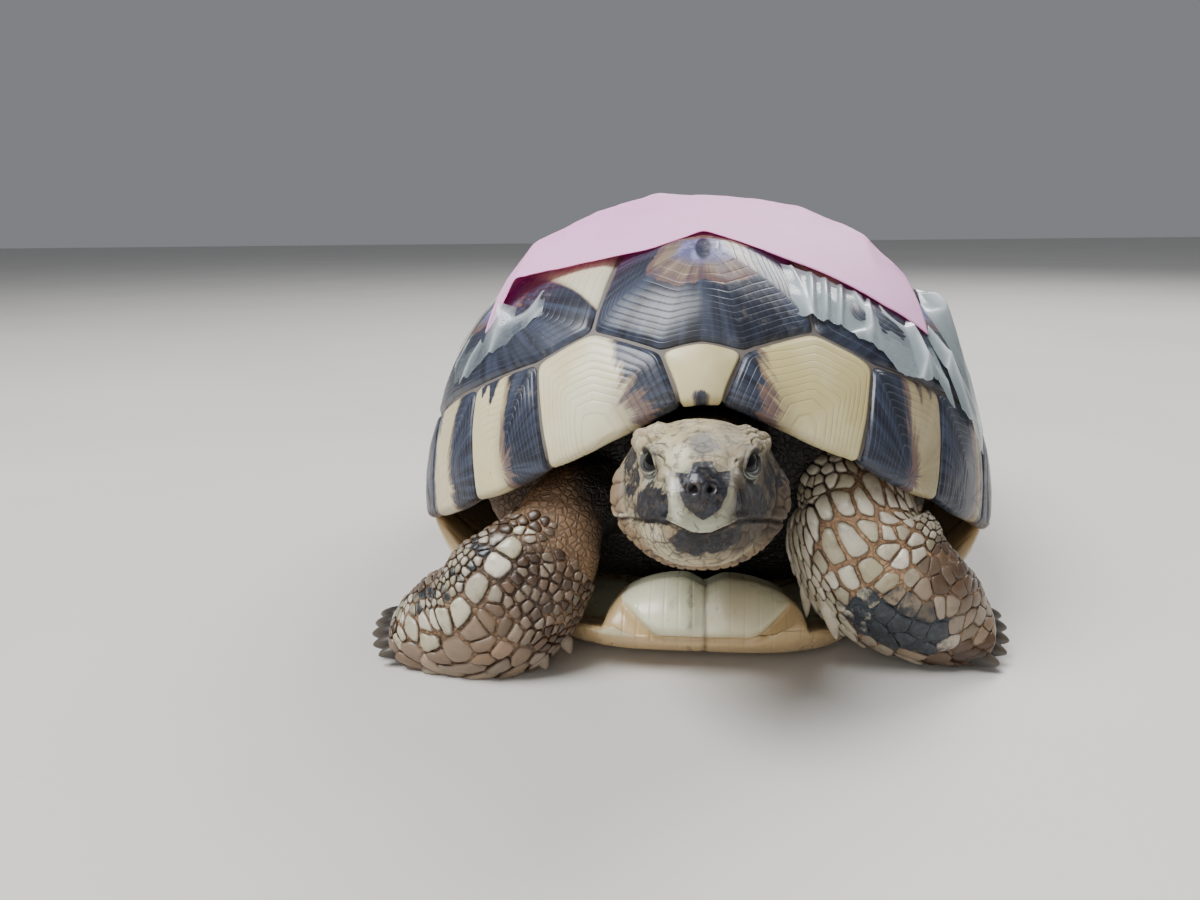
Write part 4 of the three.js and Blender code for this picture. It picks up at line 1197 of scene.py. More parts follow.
def sculpt_head(places, normals):
    """Head shapes as a lift along the normal, and the fields that its finish reads."""
    x, y, z = places.T
    side = np.abs(x - 0.3)
    half = np.stack([side, y, z], -1)
    lift = np.zeros(len(places))
    for at, size, height in HEAD_MOUNDS:
        lift += height * np.exp(-(((half - at) / size) ** 2).sum(1))
    brow_edge, nose_ridge = near_line(half, BROW_EDGE), near_line(half, NOSE_RIDGE)
    lift += 0.62 * bell(brow_edge, 1.15) + 0.30 * bell(nose_ridge, 0.75)
    brow_crease = near_line(half, BROW_CREASE)
    lift -= 0.34 * bell(brow_crease, 0.26)
    crown_crease = np.minimum.reduce([near_line(places, line) for line in CROWN_CREASES])
    lift -= 0.26 * bell(crown_crease, 0.25)
    front = smooth(-89, -91.5, y)
    nostril = np.hypot(side - 1.15, z - 40.1)
    lift += front * (0.14 * bell(nostril - 0.72, 0.25) - 1.25 * bell(nostril, 0.42))
    drop = z - mouth_height(side, y)
    jaw = smooth(-76, -79.5, y)
    upper_lip = 0.36 * bell(drop - 0.75, 0.5) * smooth(9.5, 6.0, side)
    lower_lip = 0.42 * smooth(-0.15, -0.5, drop) * smooth(-3.6, -1.5, drop) * smooth(10, 6, side)
    lift += jaw * (-0.80 * bell(drop + 0.05, 0.26) + upper_lip - lower_lip)
    low = smooth(39.5, 35.5, z)
    rim_place = y + 82.8 - 0.667 * (z - 28)
    lift += low * (0.75 * bell(rim_place - 1.5, 1.7) - 0.60 * bell(rim_place + 1.2, 0.55)
                   - 0.30 * bell(rim_place - 4.2, 0.45))
    top = smooth(41.5, 43.2, z)
    brow = smooth(3.4, 5.0, side) * smooth(-89.5, -87.5, y) * smooth(40.9, 42.2, z)
    brow = brow * smooth(2.6, 1.4, brow_edge)
    brow = np.maximum(brow, top * smooth(4.8, 6.2, side) * smooth(-88, -85, y))
    ring = low * smooth(-0.6, 0.4, rim_place) * smooth(4.6, 3.4, rim_place)
    spacing = 2.1 - 0.85 * brow - 0.7 * ring + 0.5 * (side > 8) * (y > -80)
    spacing = spacing - 0.35 * smooth(33, 29, z)
    big, big_room = CROWN_SHIELDS[:, :3], CROWN_SHIELDS[:, 3]
    far_from_big = (np.linalg.norm(places[:, None] - big[None], axis=2) / big_room).min(1)
    eye_far = np.linalg.norm(np.stack([np.abs(x), y, z], -1) - EYE_AT, axis=1)
    open_ground = (far_from_big > 0.72) & (eye_far > EYE_RADIUS + 0.8)
    seeds, room = scatter(places[open_ground], spacing[open_ground], 11)
    seeds, room = np.concatenate([big, seeds]), np.concatenate([big_room, room])
    edge, owner = cell_edges(places, seeds, room)
    beak = front * smooth(5.6, 4.4, side) * (z < 42.6) * (drop > 0)
    plain = np.maximum(beak, smooth(EYE_RADIUS + 2.4, EYE_RADIUS + 1.5, eye_far) * (1 - brow))
    faint = 1 - 0.65 * top * (1 - brow)
    crease = np.exp(-((edge / 0.055) ** 2)) * (1 - plain) * faint
    dome_up = smooth(0.0, 0.24, edge) * (1 - plain) * faint
    lift += (-(0.10 + 0.30 * brow + 0.12 * ring) * crease
             + (0.05 + 0.75 * brow + 0.26 * ring) * dome_up)
    lift += 0.05 * waves(places, 2.2, 21, 2)
    nose = np.where(y < -88.5, (np.interp(z, *NOSE_PATCH) - np.abs(x - 0.45)) / 0.9, -2)
    slant = ((side - 6.5) * 0.55 - (z - 36.2) * 0.83) / 3.9
    level = ((side - 6.5) * 0.83 + (z - 36.2) * 0.55) / 2.5
    cheek = np.where((y < -80) & (drop > -0.6), 1.3 * (1 - np.hypot(slant, level)), -2)
    cheek = np.minimum(cheek, (side - 4.3) / 0.6)
    chin = np.where((drop < 0.0) & (y < -84),
                    1.4 * (1 - np.hypot((x - 0.9) / 5.3, (z - 32.8 - 0.10 * x) / 2.2)), -2)
    corner = np.where(drop < 0.3, 0.9 - 1.6 * near_line(half, MOUTH_CORNER), -2)
    temple = 0.9 * (1 - np.hypot((side - 10.2) / 1.4, (z - 38.5) / 4.2)) - 0.1
    grey = 1.3 * (1 - np.hypot((x - 0.45) / 2.7, (y + 86.0) / 4.4)) * top

    def blot(at, size):
        return bell(np.linalg.norm((places - at) / size, axis=1), 1.0)

    head = smooth(-66, -71, y)
    # Painted shade in the scale creases, the brow and crown creases, the mouth line and the jaw
    # grooves, partly the dark seams between the head scales.
    recess_shade = np.maximum.reduce([crease, bell(brow_crease, 0.24), bell(crown_crease, 0.28),
                              jaw * bell(drop + 0.05, 0.3), low * bell(rim_place + 1.2, 0.4),
                              low * 0.7 * bell(rim_place - 4.2, 0.4)])
    # Painted shade over the tortoise's left side of the face, partly the skin's own darker brown.
    shade = np.maximum(smooth(2.8, 5.2, x) * smooth(43.6, 41.0, z), 0.5 * smooth(0.5, 4, x))
    patch = [nose, cheek, chin, np.minimum(corner, 0.25), np.minimum(temple, 0.2)]
    values = {"patch": np.maximum.reduce(patch),
              "head": head, "grey": grey, "crease": recess_shade, "beak": beak,
              "rim": low * smooth(-0.9, -0.2, rim_place) * smooth(9, 6, rim_place),
              # Painted highlights along the nose ridge, stronger on the lit right side, and on the
              # crown; the upper lip edge and the chin are drawn pale.
              "pale": np.maximum.reduce([
                  bell(nose_ridge, 0.7) * np.where(x < 0.3, 0.85, 0.3),
                  0.7 * jaw * bell(drop - 0.45, 0.28), blot((-2.7, -88.0, 43.6), (1.3, 2.6, 1.8)),
                  0.8 * jaw * blot((-5.0, -88.5, 32.6), (2.2, 2.6, 1.3))]),
              "shade": shade * (1 - 0.3 * smooth(10.0, 12.0, x)) * smooth(28, 31, z),
              "tone": (owner * 0.6180339) % 1}
    return places + normals * (lift * head)[:, None], values


def skin_finish(t):
    """Cream, scaly head with black nose, cheek and chin patches, painted shade in its creases and
    over its left side, and painted highlights on its nose ridge and crown; elsewhere creased, earthy
    skin, ochre on the forelegs partly as painted light, with painted shadow under the front of the
    shell.
    """
    place = t.place()
    broad, fine = t.noise(place, 75.0, 4.0, 0.6), t.noise(place, 900.0, 4.0, 0.65)
    middle = t.noise(place, 330.0, 4.0, 0.7)
    pebble = t.step(t.cell_edge(place, 900.0), 0.0, 0.25)
    ruddy = t.step(t.plus("patch", t.swing(middle, 1.3)), -0.9, 0.0)
    shade = t.times("shade", t.step(middle, 0.2, 0.6, 0.7, 1.0))
    patch = t.plus(t.plus("patch", t.swing(middle, 1.4)), t.swing(fine, 0.7))
    greyed = t.step(t.plus("grey", t.swing(middle, 2.0)), 0.1, 0.7)
    crack = t.times(t.step(t.cell_edge(place, 560.0), 0.0, 0.08, 1.0, 0.0),
                    t.step(t.noise(place, 210.0, 3.0, 0.6), 0.46, 0.6))
    specks = t.step(t.noise(place, 620.0, 3.0, 0.6), 0.55, 0.64)
    head = t.coats(
        t.mix(t.step(broad, 0.35, 0.7), (168, 156, 122), (212, 204, 172)),
        (t.step("tone", 0.2, 1.0), 0.42, (156, 126, 92)),
        ("beak", 1, t.mix(middle, (116, 120, 98), (162, 166, 140))),
        ("rim", 0.95, t.mix(middle, (96, 76, 54), (154, 128, 94))),
        # Pale coat: painted highlights on the nose ridge and crown, and the pale lip and chin.
        ("pale", 0.85, (222, 216, 194)), (ruddy, 0.45, (98, 82, 68)),
        # Painted shade on the left side of the face, partly its own darker skin.
        (shade, 0.92, t.mix(fine, (40, 32, 26), (84, 66, 52))),
        ("socket", 0.9, t.mix(middle, (34, 34, 34), (88, 86, 78))),
        ("pleat", 0.75, (178, 186, 176)),
        (t.step(patch, -0.02, 0.22), 1,
         t.mix(t.step(fine, 0.4, 0.75), (12, 14, 20), (48, 50, 58))),
        # Painted shade in the creases of the head.
        (greyed, 0.8, (108, 106, 106)), ("crease", 0.9, (44, 34, 26)),
        (crack, 0.6, (60, 48, 40)), (specks, 0.6, (70, 62, 54)))
    soil = t.mix(t.step(broad, 0.3, 0.7), (66, 50, 36), (104, 78, 54))
    ochre = t.mix(middle, (150, 116, 82), (196, 156, 118))
    soot = t.plus("soot", t.swing(middle, 0.9))
    colour = t.coats(
        t.mix(pebble, (42, 32, 24), soil),
        # Ochre skin, partly painted light.
        ("ochre", 1, t.mix(t.step(pebble, 0.0, 1.0, 0.6, 1.0), soil, ochre)),
        # Painted shadow under the front of the shell.
        ("recess_shade", 1, (20, 15, 12)),
        (t.step(soot, 0.0, 0.25), 1, t.mix(fine, (20, 24, 30), (52, 60, 68))),
        ("head", 1, head), ("lid", 1, (26, 22, 20)))
    height = t.plus(t.times(pebble, t.minus(1.0, "head")), t.times(t.plus(middle, fine), 0.5))
    return {"Base Color": colour, "Roughness": t.minus(0.58, t.times("beak", 0.3)),
            "Normal": t.bump(0.6, 0.0003, height)}


def limb_place(limb, places):
    """Share of length and turn of the point of the limb nearest to each place."""
    s, turn = np.meshgrid(np.linspace(0, 1, 50), np.linspace(-np.pi, np.pi, 48, endpoint=False))
    s, turn = s.ravel(), turn.ravel()
    samples = limb.surface(s, turn)
    nearest = np.empty(len(places), int)
    for start in range(0, len(places), 4000):
        part = places[start:start + 4000]
        far = (part ** 2).sum(1)[:, None] - 2 * part @ samples.T + (samples ** 2).sum(1)[None]
        nearest[start:start + 4000] = far.argmin(axis=1)
    return s[nearest], turn[nearest]


def soot_at(s, turn):
    """Signed field of the blue-black patch on the tortoise's left forearm."""
    turn = np.mod(turn, TAU)
    away = np.abs((s - 0.655) / 0.155) ** 3 + np.abs((turn - 1.95 + 1.0 * (s - 0.655)) / 0.50) ** 3
    return 1.3 * (1 - away ** (1 / 3))


def build_skin():
    """The one skin, with its folds, lids, mouth and nostrils."""
    made = base_skin()
    mesh = made.data
    places = read_places(mesh.vertices, "co") / MM
    normals = read_places(mesh.vertex_normals, "vector")
    fields = {key: np.zeros(len(places)) for key in (
        "patch", "head", "grey", "crease", "beak", "rim", "tone", "pale", "shade", "lid", "socket",
        "pleat", "ochre", "soot", "recess_shade")}
    fields["patch"] -= 2
    fields["soot"] -= 2
    head = (places[:, 1] < -66) & (np.abs(places[:, 0]) < 15) & (places[:, 2] > 22)
    shaped, values = sculpt_head(places[head], normals[head])
    shaped, values["lid"], values["socket"], values["pleat"] = eye_lids(shaped)
    for key, value in values.items():
        fields[key][head] = value
    loose = ~head
    x, y, z = places.T
    for side in (1, -1):
        arm = loose & (x * side > 15) & (y < -44) & (z < 34)
        s, turn = limb_place(FORELEGS[side], places[arm])
        turn = turn * side
        degrees = np.degrees(turn) % 360
        # Ochre skin between the foreleg scales: partly the skin's own ochre, partly painted light
        # where the legs are lit.
        if side > 0:
            ochre_and_light = smooth(0.25, 0.36, s) * (1 - 0.55 * smooth(0.54, 0.62, s))
        else:
            strip = within(degrees, 122, 170, 12) * within(s, 0.34, 0.6, 0.06)
            ochre_and_light = np.maximum(0.75 * strip, 0.45 * within(s, 0.30, 0.46, 0.05))
            ochre_and_light = np.maximum(ochre_and_light, 0.4 * within(degrees, 45, 130, 15) * smooth(0.55, 0.65, s))
        fields["ochre"][arm] = 0.9 * ochre_and_light
        if side > 0:
            fields["soot"][arm] = soot_at(s, turn)
    # Painted shadow: the skin at the front of the body, round the neck and shoulders under the shell,
    # is drawn near black.
    fields["recess_shade"][loose] = (smooth(-66, -58, y) * smooth(24, 18, np.abs(x)) * (y < 0))[loose]
    folds = 0.22 * waves(places * (1.0, 1.6, 1.0), 7.0, 31, 3) + 0.10 * waves(places, 3.0, 32, 2)
    places = places + normals * (folds * loose)[:, None]
    places[head] = shaped
    places[:, 2] = np.maximum(places[:, 2], 0.0)
    mesh.vertices.foreach_set("co", (places * MM).astype(np.float32).ravel())
    for key, value in fields.items():
        write_value(mesh, key, value)
    mesh.materials.append(material("skin", skin_finish))
    mesh.shade_smooth()
    mesh.update()
    legs = [f"{kind}leg_{side}_{part}" for kind in ("fore", "hind") for side in ("left", "right")
            for part in ("upper", "lower")]
    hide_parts("trunk", "neck", "head", "lower_jaw", "tail", *legs)


build_skin()


# ---------------------------------------------------------------- eyes
def eye_finish(t):
    """Dark wet eye: wide black pupil, thin brown iris, under a clear coat."""
    ring = "ring"
    iris = t.mix(t.noise(t.place(), 900.0, 3.0), (24, 15, 10), (48, 32, 20))
    colour = t.mix(t.step(ring, 0.68, 0.78), (3, 3, 4), iris)
    colour = t.mix(t.step(ring, 0.85, 1.0), colour, (12, 10, 9))
    return {"Base Color": colour, "Roughness": 0.14, "Coat Weight": 0.2, "Coat Roughness": 0.04,
            "Specular IOR Level": 0.2}


def build_eyes():
    """Two balls of points turned about the line of sight: lift is the angle from the pupil."""
    finish = material("eye", eye_finish)
    for name, side in (("left", 1), ("right", -1)):
        lift, turn = tube_grid(36, 48, 0.001, np.pi - 0.001)
        middle, gaze = EYE_AT * (side, 1, 1), GAZE * (side, 1, 1)
        east = unit(np.cross((0, 0, 1), gaze))
        north = np.cross(gaze, east)
        around = east * np.cos(turn)[..., None] + north * np.sin(turn)[..., None]
        ball = gaze * np.cos(lift)[..., None] + around * np.sin(lift)[..., None]
        shape = Shape()
        poles = middle + EYE_RADIUS * np.stack([gaze, -gaze])
        shape.add_tube(middle + EYE_RADIUS * ball, poles, True,
                       ring=np.concatenate([lift.ravel(), [0, np.pi]]))
        shape.build(f"eyeball_{name}", "eye", finish, (f"eye_{name}",))


build_eyes()


# ---------------------------------------------------------------- scales on the legs
DRAWN, SAMPLES, ROUNDS = 60000, 14000, 22     # places drawn, kept as samples, rounds of settling
NEIGHBOURS, ROUNDNESS = 14, 9.0               # borders looked at, and how sharp their corners are


def spread_scales(limb, size_of, span, seed):
    """Seeds (share of length, turn) and sizes in mm of scales over a limb. Start places are drawn
    as thick as size_of asks; the rounds then move each seed to the middle of the samples nearest
    it, with distance taken as (|x|^4 + |y|^4)^(1/4) so that they settle in rows. The samples lie
    as thick as size^-4, which settles the seeds as thick as size^-2."""
    draw = np.random.default_rng(seed)
    s, turn = draw.uniform(*span, DRAWN), draw.uniform(-np.pi, np.pi, DRAWN)
    size = size_of(s, turn)
    weight = limb.girth(s) / size ** 2
    count = int(weight.mean() * TAU * (span[1] - span[0]) * limb.length)
    start = draw.choice(DRAWN, count, replace=False, p=weight / weight.sum())
    seeds = np.stack([s[start] * limb.length, turn[start]], -1).astype(np.float32)
    weight = weight / size ** 2
    keep = draw.choice(DRAWN, SAMPLES, replace=False, p=weight / weight.sum())
    samples = np.stack([s[keep] * limb.length, turn[keep]], -1).astype(np.float32)
    girths, half_turn = limb.girth(s[keep]).astype(np.float32), np.float32(np.pi)
    for _ in range(ROUNDS):
        round_gap = samples[:, None, 1] - seeds[None, :, 1] + half_turn
        round_gap = round_gap % TAU - half_turn
        far = (samples[:, None, 0] - seeds[None, :, 0]) ** 2
        far = far ** 2 + ((round_gap * girths[:, None]) ** 2) ** 2
        owner = far.argmin(axis=1)
        members = np.maximum(np.bincount(owner, minlength=count), 1)
        shift_s = np.bincount(owner, samples[:, 0] - seeds[owner, 0], count) / members
        shift_turn = np.bincount(owner, round_gap[np.arange(SAMPLES), owner], count) / members
        seeds = (seeds + np.stack([shift_s, shift_turn], -1)).astype(np.float32)
    seeds = seeds.astype(float)
    turn = (seeds[:, 1] + np.pi) % TAU - np.pi
    s = seeds[:, 0] / limb.length
    return s, turn, size_of(s, turn)


def scale_outlines(limb, s, turn, size, directions):
    """Radius of each scale in each direction: the nearest of the borders to its neighbours, where a
    border stands across the line to a neighbour, at a share of it set by the two sizes. Taking the
    borders together as a sum of inverse powers rounds the corners."""
    across = (turn[None] - turn[:, None] + np.pi) % TAU - np.pi
    dx = (s[None] - s[:, None]) * limb.length
    dy = across * limb.girth((s[None] + s[:, None]) / 2)
    far = np.hypot(dx, dy) + np.eye(len(s)) * 1e3
    near = np.argsort(far, axis=1)[:, :NEIGHBOURS]
    row = np.arange(len(s))[:, None]
    far, heading = far[row, near], np.arctan2(dy[row, near], dx[row, near])
    share = size[:, None] / (size[:, None] + size[near])
    facing = np.cos(directions[None, None] - heading[..., None])
    reach = (share * far)[..., None] / np.maximum(facing, 0.08)
    radius = (reach ** -ROUNDNESS).sum(axis=1) ** (-1 / ROUNDNESS)
    return np.minimum(radius, 0.95 * size[:, None])


def add_scales(shape, limb, corner, seed, size_of, look_of, span):
    """One closed, pillowed plate for each scale. look_of gives, for each seed, its crown height, the
    lift of its far end, how far its tip is drawn out, and its shades. `corner` is where this limb's
    scales lie on the unwrap of the skin, (u, v, width, height)."""
    s, turn, size = spread_scales(limb, size_of, span, seed)
    draw = np.random.default_rng(seed + 1)
    look_at = look_of(s, turn, size, draw)
    around = 20
    directions = np.linspace(0, TAU, around, endpoint=False)
    radius = scale_outlines(limb, s, turn, size, directions)
    radius = np.maximum(radius - look_at["gap"][:, None], 0.3)
    kept = look_at["kept"]
    s, turn, size, radius = s[kept], turn[kept], size[kept], radius[kept]
    look_at = {key: value[kept] for key, value in look_at.items()}
    tip = look_at["tip"][:, None] * np.maximum(np.cos(directions), 0) ** 5
    radius = radius * (1 + tip)
    rings = np.array([0.30, 0.56, 0.76, 0.89, 0.97, 1.0, 0.94])
    heights = np.array([0.98, 0.91, 0.77, 0.56, 0.28, -0.15, -1.0])[None, :, None]
    reach = radius[:, None, :] * rings[None, :, None]
    dx, dy = reach * np.cos(directions), reach * np.sin(directions)
    girth = limb.girth(s)[:, None, None]
    at_s = np.clip(s[:, None, None] + dx / limb.length, 0.0, 1.0)
    at_turn = turn[:, None, None] + dy / girth
    crown, tilt = look_at["crown"][:, None, None], look_at["tilt"][:, None, None]
    shape_up = np.where(heights < -0.5, -0.9, heights * crown)
    own = np.broadcast_to(size[:, None, None] * 7, dx.shape)
    rough = 0.05 * waves(np.stack([dx, dy, own], -1), 2.4, seed, 2)
    lift = shape_up + np.where(heights > 0, tilt * dx + rough, tilt * np.maximum(dx, 0) * 0.8)
    points = limb.surface(at_s, at_turn, lift)
    top = limb.surface(s, turn, look_at["crown"])[:, None]
    under = limb.surface(s, turn, -1.0 + 0 * s)[:, None]
    per = len(rings) * around
    block = np.concatenate([points.reshape(len(s), per, 3), top, under], axis=1)
    block[..., 2] = np.maximum(block[..., 2], 0.02)
    inside_out = np.linalg.det(np.stack([block[0, 0] - block[0, per], block[0, 4] - block[0, per],
                                         block[0, per] - block[0, per + 1]])) < 0
    quads, ends = tube_faces(len(rings), around, inside_out)
    steps = (np.arange(len(s)) * (per + 2))[:, None, None]
    ring = np.concatenate([np.broadcast_to(rings[:, None], (len(rings), around)).ravel(), [0, 1.0]])
    local = np.concatenate([np.stack([dx, dy], -1).reshape(len(s), per, 2),
                            np.zeros((len(s), 2, 2))], axis=1) / (size[:, None, None] * 2)
    root = np.stack([corner[0] + corner[2] * (turn / TAU + 0.5), corner[1] + corner[3] * s], -1)
    shades = {key: np.repeat(value, per + 2) for key, value in look_at.items()
              if key in ("pale", "dark", "tone", "ochre", "line")}
    shape.add(block, (quads[None] + steps).reshape(-1, 4), (ends[None] + steps).reshape(-1, 3),
              uv=root[:, None] + 0.003 * local, ring=np.tile(ring, len(s)), **shades)


def add_spurs(shape, corner, spurs):
    """Pointed scales that stand off a limb, each from its root to its tip, with its half width and
    how pale it is: flattened cones of half width R (1 - t)^0.62."""
    t, turn = tube_grid(14, 16, 0.0, 0.985)
    for root, tip, wide, pale in spurs:
        root, tip = np.array(root, float), np.array(tip, float)
        heading = unit(tip - root)
        broad = unit(np.cross(heading, (0, -1, 0.2)))
        thick = np.cross(broad, heading)
        radius = wide * (1 - t) ** 0.62 * (0.75 + 0.25 * smooth(0, 0.3, t))
        points = (lerp(root, tip, t[..., None]) + broad * (radius * np.cos(turn))[..., None]
                  + thick * (0.6 * radius * np.sin(turn))[..., None])
        ring = np.concatenate([(0.3 + 0.75 * np.abs(t - 0.3)).ravel(), [0.6, 0.9]])
        local = np.stack([t - 0.5, np.cos(turn) / 2], -1).reshape(-1, 2)
        local = np.concatenate([local, np.zeros((2, 2))])
        shape.add_tube(points, None, np.dot(np.cross(broad, thick), heading) < 0, 0.03,
                       uv=np.array(corner[:2]) + 0.003 * local, ring=ring, pale=pale, dark=-1.0,
                       tone=0.6, ochre=0.2, line=0.8)


def scale_finish(t):
    """Horn scales, from cream through tan to brown, darker and ruddier at their edges, with rubbed
    centres; some are blue-black."""
    place = t.place()
    fine, middle = t.noise(place, 1100.0, 4.0, 0.65), t.noise(place, 420.0, 4.0, 0.65)
    pale = t.mix("tone", (172, 166, 136), (226, 220, 202))
    edge = t.step(t.plus("ring", t.swing(middle, 0.3)), 0.80, 1.0)
    colour = t.coats(
        t.mix("tone", (58, 43, 33), (98, 74, 54)),
        ("pale", 1, t.coats(pale, ("ochre", 0.8, (178, 136, 96)))),
        (t.step(middle, 0.45, 0.7), 0.4, (104, 84, 64)), (edge, "line", (62, 42, 30)),
        (t.step(t.plus("dark", t.swing(middle, 1.0)), 0.0, 0.3), 1,
         t.mix(t.step(fine, 0.4, 0.7), (20, 24, 30), (48, 56, 64))))
    return {"Base Color": colour, "Roughness": t.step(middle, 0.3, 0.8, 0.28, 0.5),
            "Normal": t.bump(0.4, 0.00015, t.plus(fine, middle)),
            "Coat Weight": t.times("pale", 0.25), "Coat Roughness": 0.15}


def cream_row(s):
    """Turn, in degrees, of the row of big cream scales down the right foreleg."""
    return np.interp(s, [0.44, 0.47, 0.56, 0.64, 0.74, 0.82, 0.92], [56, 58, 65, 69, 78, 100, 116])


def fore_places(side, turn):
    """Turn in degrees from -90 to 270, measured from the outer ridge: the front of the leg is at 90
    and its lower inner edge at 180."""
    return (np.degrees(turn * side) + 90) % 360 - 90


def fore_size(side):
    """Sizes in mm over a foreleg."""
    def left(s, turn):
        cream = within(turn, 46, 126, 6) * within(s, 0.30, 0.56, 0.02)
        inner = within(turn, 126, 215, 7) * (1 - smooth(0.54, 0.6, s))
        foot = smooth(0.55, 0.60, s) * within(turn, 20, 215, 10)
        return 1.9 + 0.95 * cream - 0.35 * inner + 0.75 * foot

    def right(s, turn):
        off = turn - cream_row(s)
        cream = within(off, -14, 15, 4) * within(s, 0.46, 0.90, 0.02)
        small = within(off, 15, 140, 5) * (1 - smooth(0.58, 0.65, s))
        ridge = within(off, -50, -14, 4) * smooth(0.5, 0.56, s)
        tan = within(off, 12, 140, 5) * smooth(0.58, 0.66, s)
        return 2.1 + 1.3 * cream - 0.68 * small - 0.45 * ridge + 0.85 * tan

    def size(s, turn):
        asked = (left if side > 0 else right)(s, fore_places(side, turn))
        return asked * (1 - 0.3 * smooth(0.88, 1.0, s))
    return size


def fore_look(side):
    """Shape and shades of the foreleg scales. On the tortoise's left (side 1) cream, with pointed
    scales low down, brown plates and a blue-black patch at the foot; on its right brown, with one
    row of big cream scales and tan ones beside it. The crown is 0.24 mm and 0.13 of the size."""
    def look_at(s, turn, size, draw):
        turn = fore_places(side, turn)
        tone = draw.uniform(0, 1, len(s))
        back = smooth(205, 220, turn) + smooth(5, -20, turn)
        if side > 0:
            low = within(turn, 122, 215, 5)
            brown = smooth(0.52, 0.60, s) * smooth(104, 92, turn) + smooth(0.74, 0.82, s)
            plate = low * smooth(0.56, 0.62, s)
            pale = 0.95 - 0.65 * np.clip(brown, 0, 1) - 0.45 * plate - 0.25 * low * (1 - plate)
            pale = pale - 0.35 * smooth(78, 58, turn) - 0.4 * back
            dark = soot_at(s, np.radians(turn)) - 0.1
            tip = 0.55 * low * (1 - plate) + 0 * s
            tilt = 0.05 + 0.2 * low
            ochre = 0.1 + 0.35 * np.clip(brown + plate, 0, 1)
            gap = 0.08 + 0.10 * within(turn, 40, 130, 8) * within(s, 0.3, 0.56, 0.03)
            gap = gap * (1 - 0.7 * smooth(0, 0.4, dark))
            line = 0.85 - 0.45 * np.clip(brown, 0, 1)
            flat = 0.45 * np.clip(brown + plate, 0, 1)
            kept = s > 0.21 + 0 * turn
        else:
            off = turn - cream_row(s)
            cream = within(off, -14, 15, 4) * within(s, 0.42, 0.92, 0.02)
            tan = within(off, 15, 140, 5) * smooth(0.58, 0.66, s)
            ridge = within(off, -50, -14, 3) * smooth(0.46, 0.52, s)
            pale = 0.04 + 0.9 * cream + 0.30 * tan + 0.5 * ridge - 0.1 * back
            dark = np.where(ridge > 0.5, draw.uniform(-0.7, 0.4, len(s)), -1.0)
            tip = 0.45 * tan * smooth(100, 125, turn)
            tilt = 0.05 + 0.15 * tan
            ochre = 0.05 + 0.6 * tan
            gap = 0.10 + 0.08 * cream
            line = 0.9 - 0.2 * tan
            flat = 0.2 * tan
            kept = (s > 0.37) & ((s > 0.44) | (turn < 84))
        pale = np.clip(pale + draw.normal(0, 0.08, len(s)), 0, 1)
        sooted = smooth(-0.1, 0.2, dark)
        crown = (0.24 + 0.13 * size + 0.08 * tone) * (1 - flat) * (1 - 0.65 * sooted)
        ochre = np.clip(ochre * draw.uniform(0.4, 1.6, len(s)), 0, 1)
        return {"crown": crown, "tilt": tilt + 0 * s, "tip": tip + 0 * s, "pale": pale,
                "dark": dark, "tone": tone, "ochre": ochre, "gap": gap + 0 * s,
                "line": line * (1 - 0.8 * sooted), "kept": kept}
    return look_at


def hind_size(s, turn):
    """Sizes in mm over a hindleg: larger towards the foot, wavering twice round the leg."""
    return 2.4 + 0.9 * smooth(0.45, 0.9, s) + 0.3 * np.sin(turn * 2)


def hind_look(s, turn, size, draw):
    """Shape and shades of the hindleg scales: brown, the larger ones paler."""
    tone = draw.uniform(0, 1, len(s))
    pale = np.clip(0.25 + 0.4 * smooth(2.8, 3.4, size) + draw.normal(0, 0.15, len(s)), 0, 1)
    return {"crown": 0.4 + 0.1 * tone, "tilt": 0.06 + 0 * s, "tip": 0.15 + 0 * s, "pale": pale,
            "dark": -0.7 + draw.normal(0, 0.2, len(s)), "tone": tone,
            "ochre": draw.uniform(0, 0.6, len(s)), "gap": 0.1 + 0 * s, "line": 0.85 + 0 * s,
            "kept": s > 0}


SPURS = {   # root, tip, half width, how pale
    1: [((21.0, -63.2, 13.0), (23.0, -62.9, 5.6), 1.75, 0.95),
        ((17.9, -60.6, 14.6), (18.3, -60.2, 8.3), 1.3, 0.8),
        ((19.0, -62.0, 13.6), (19.6, -61.8, 10.6), 1.1, 0.75),
        ((24.9, -63.6, 9.2), (26.2, -63.2, 6.2), 1.5, 0.5)],
    -1: [((-31.6, -70.0, 3.0), (-30.6, -69.8, 0.05), 1.7, 0.25),
         ((-26.2, -69.2, 4.4), (-25.0, -68.8, 1.2), 1.7, 0.25),
         ((-22.2, -67.7, 6.6), (-21.1, -67.4, 3.6), 1.6, 0.2),
         ((-35.0, -70.6, 2.6), (-35.3, -70.4, 0.05), 1.6, 0.3),
         ((-38.6, -70.4, 3.0), (-39.2, -70.2, 0.3), 1.5, 0.3)],
}


def build_scales():
    """The scales of both forelegs with their spurs, and those of the hindlegs, each limb with its own
    place on the unwrap."""
    finish = material("leg_scales", scale_finish)
    places = {1: (0.02, 0.02, 0.2, 0.4), -1: (0.26, 0.02, 0.2, 0.4)}
    for side, word in ((1, "left"), (-1, "right")):
        shape = Shape()
        add_scales(shape, FORELEGS[side], places[side], 40 + side, fore_size(side), fore_look(side),
                   (0.20, 0.975))
        add_spurs(shape, places[side], SPURS[side])
        shape.build(f"foreleg_scales_{word}", "skin", finish)
    shape = Shape()
    for side, corner in ((1, (0.52, 0.02, 0.2, 0.3)), (-1, (0.76, 0.02, 0.2, 0.3))):
        add_scales(shape, HINDLEGS[side], corner, 60 + side, hind_size, hind_look, (0.30, 0.97))
    shape.build("hindleg_scales", "skin", finish)


build_scales()


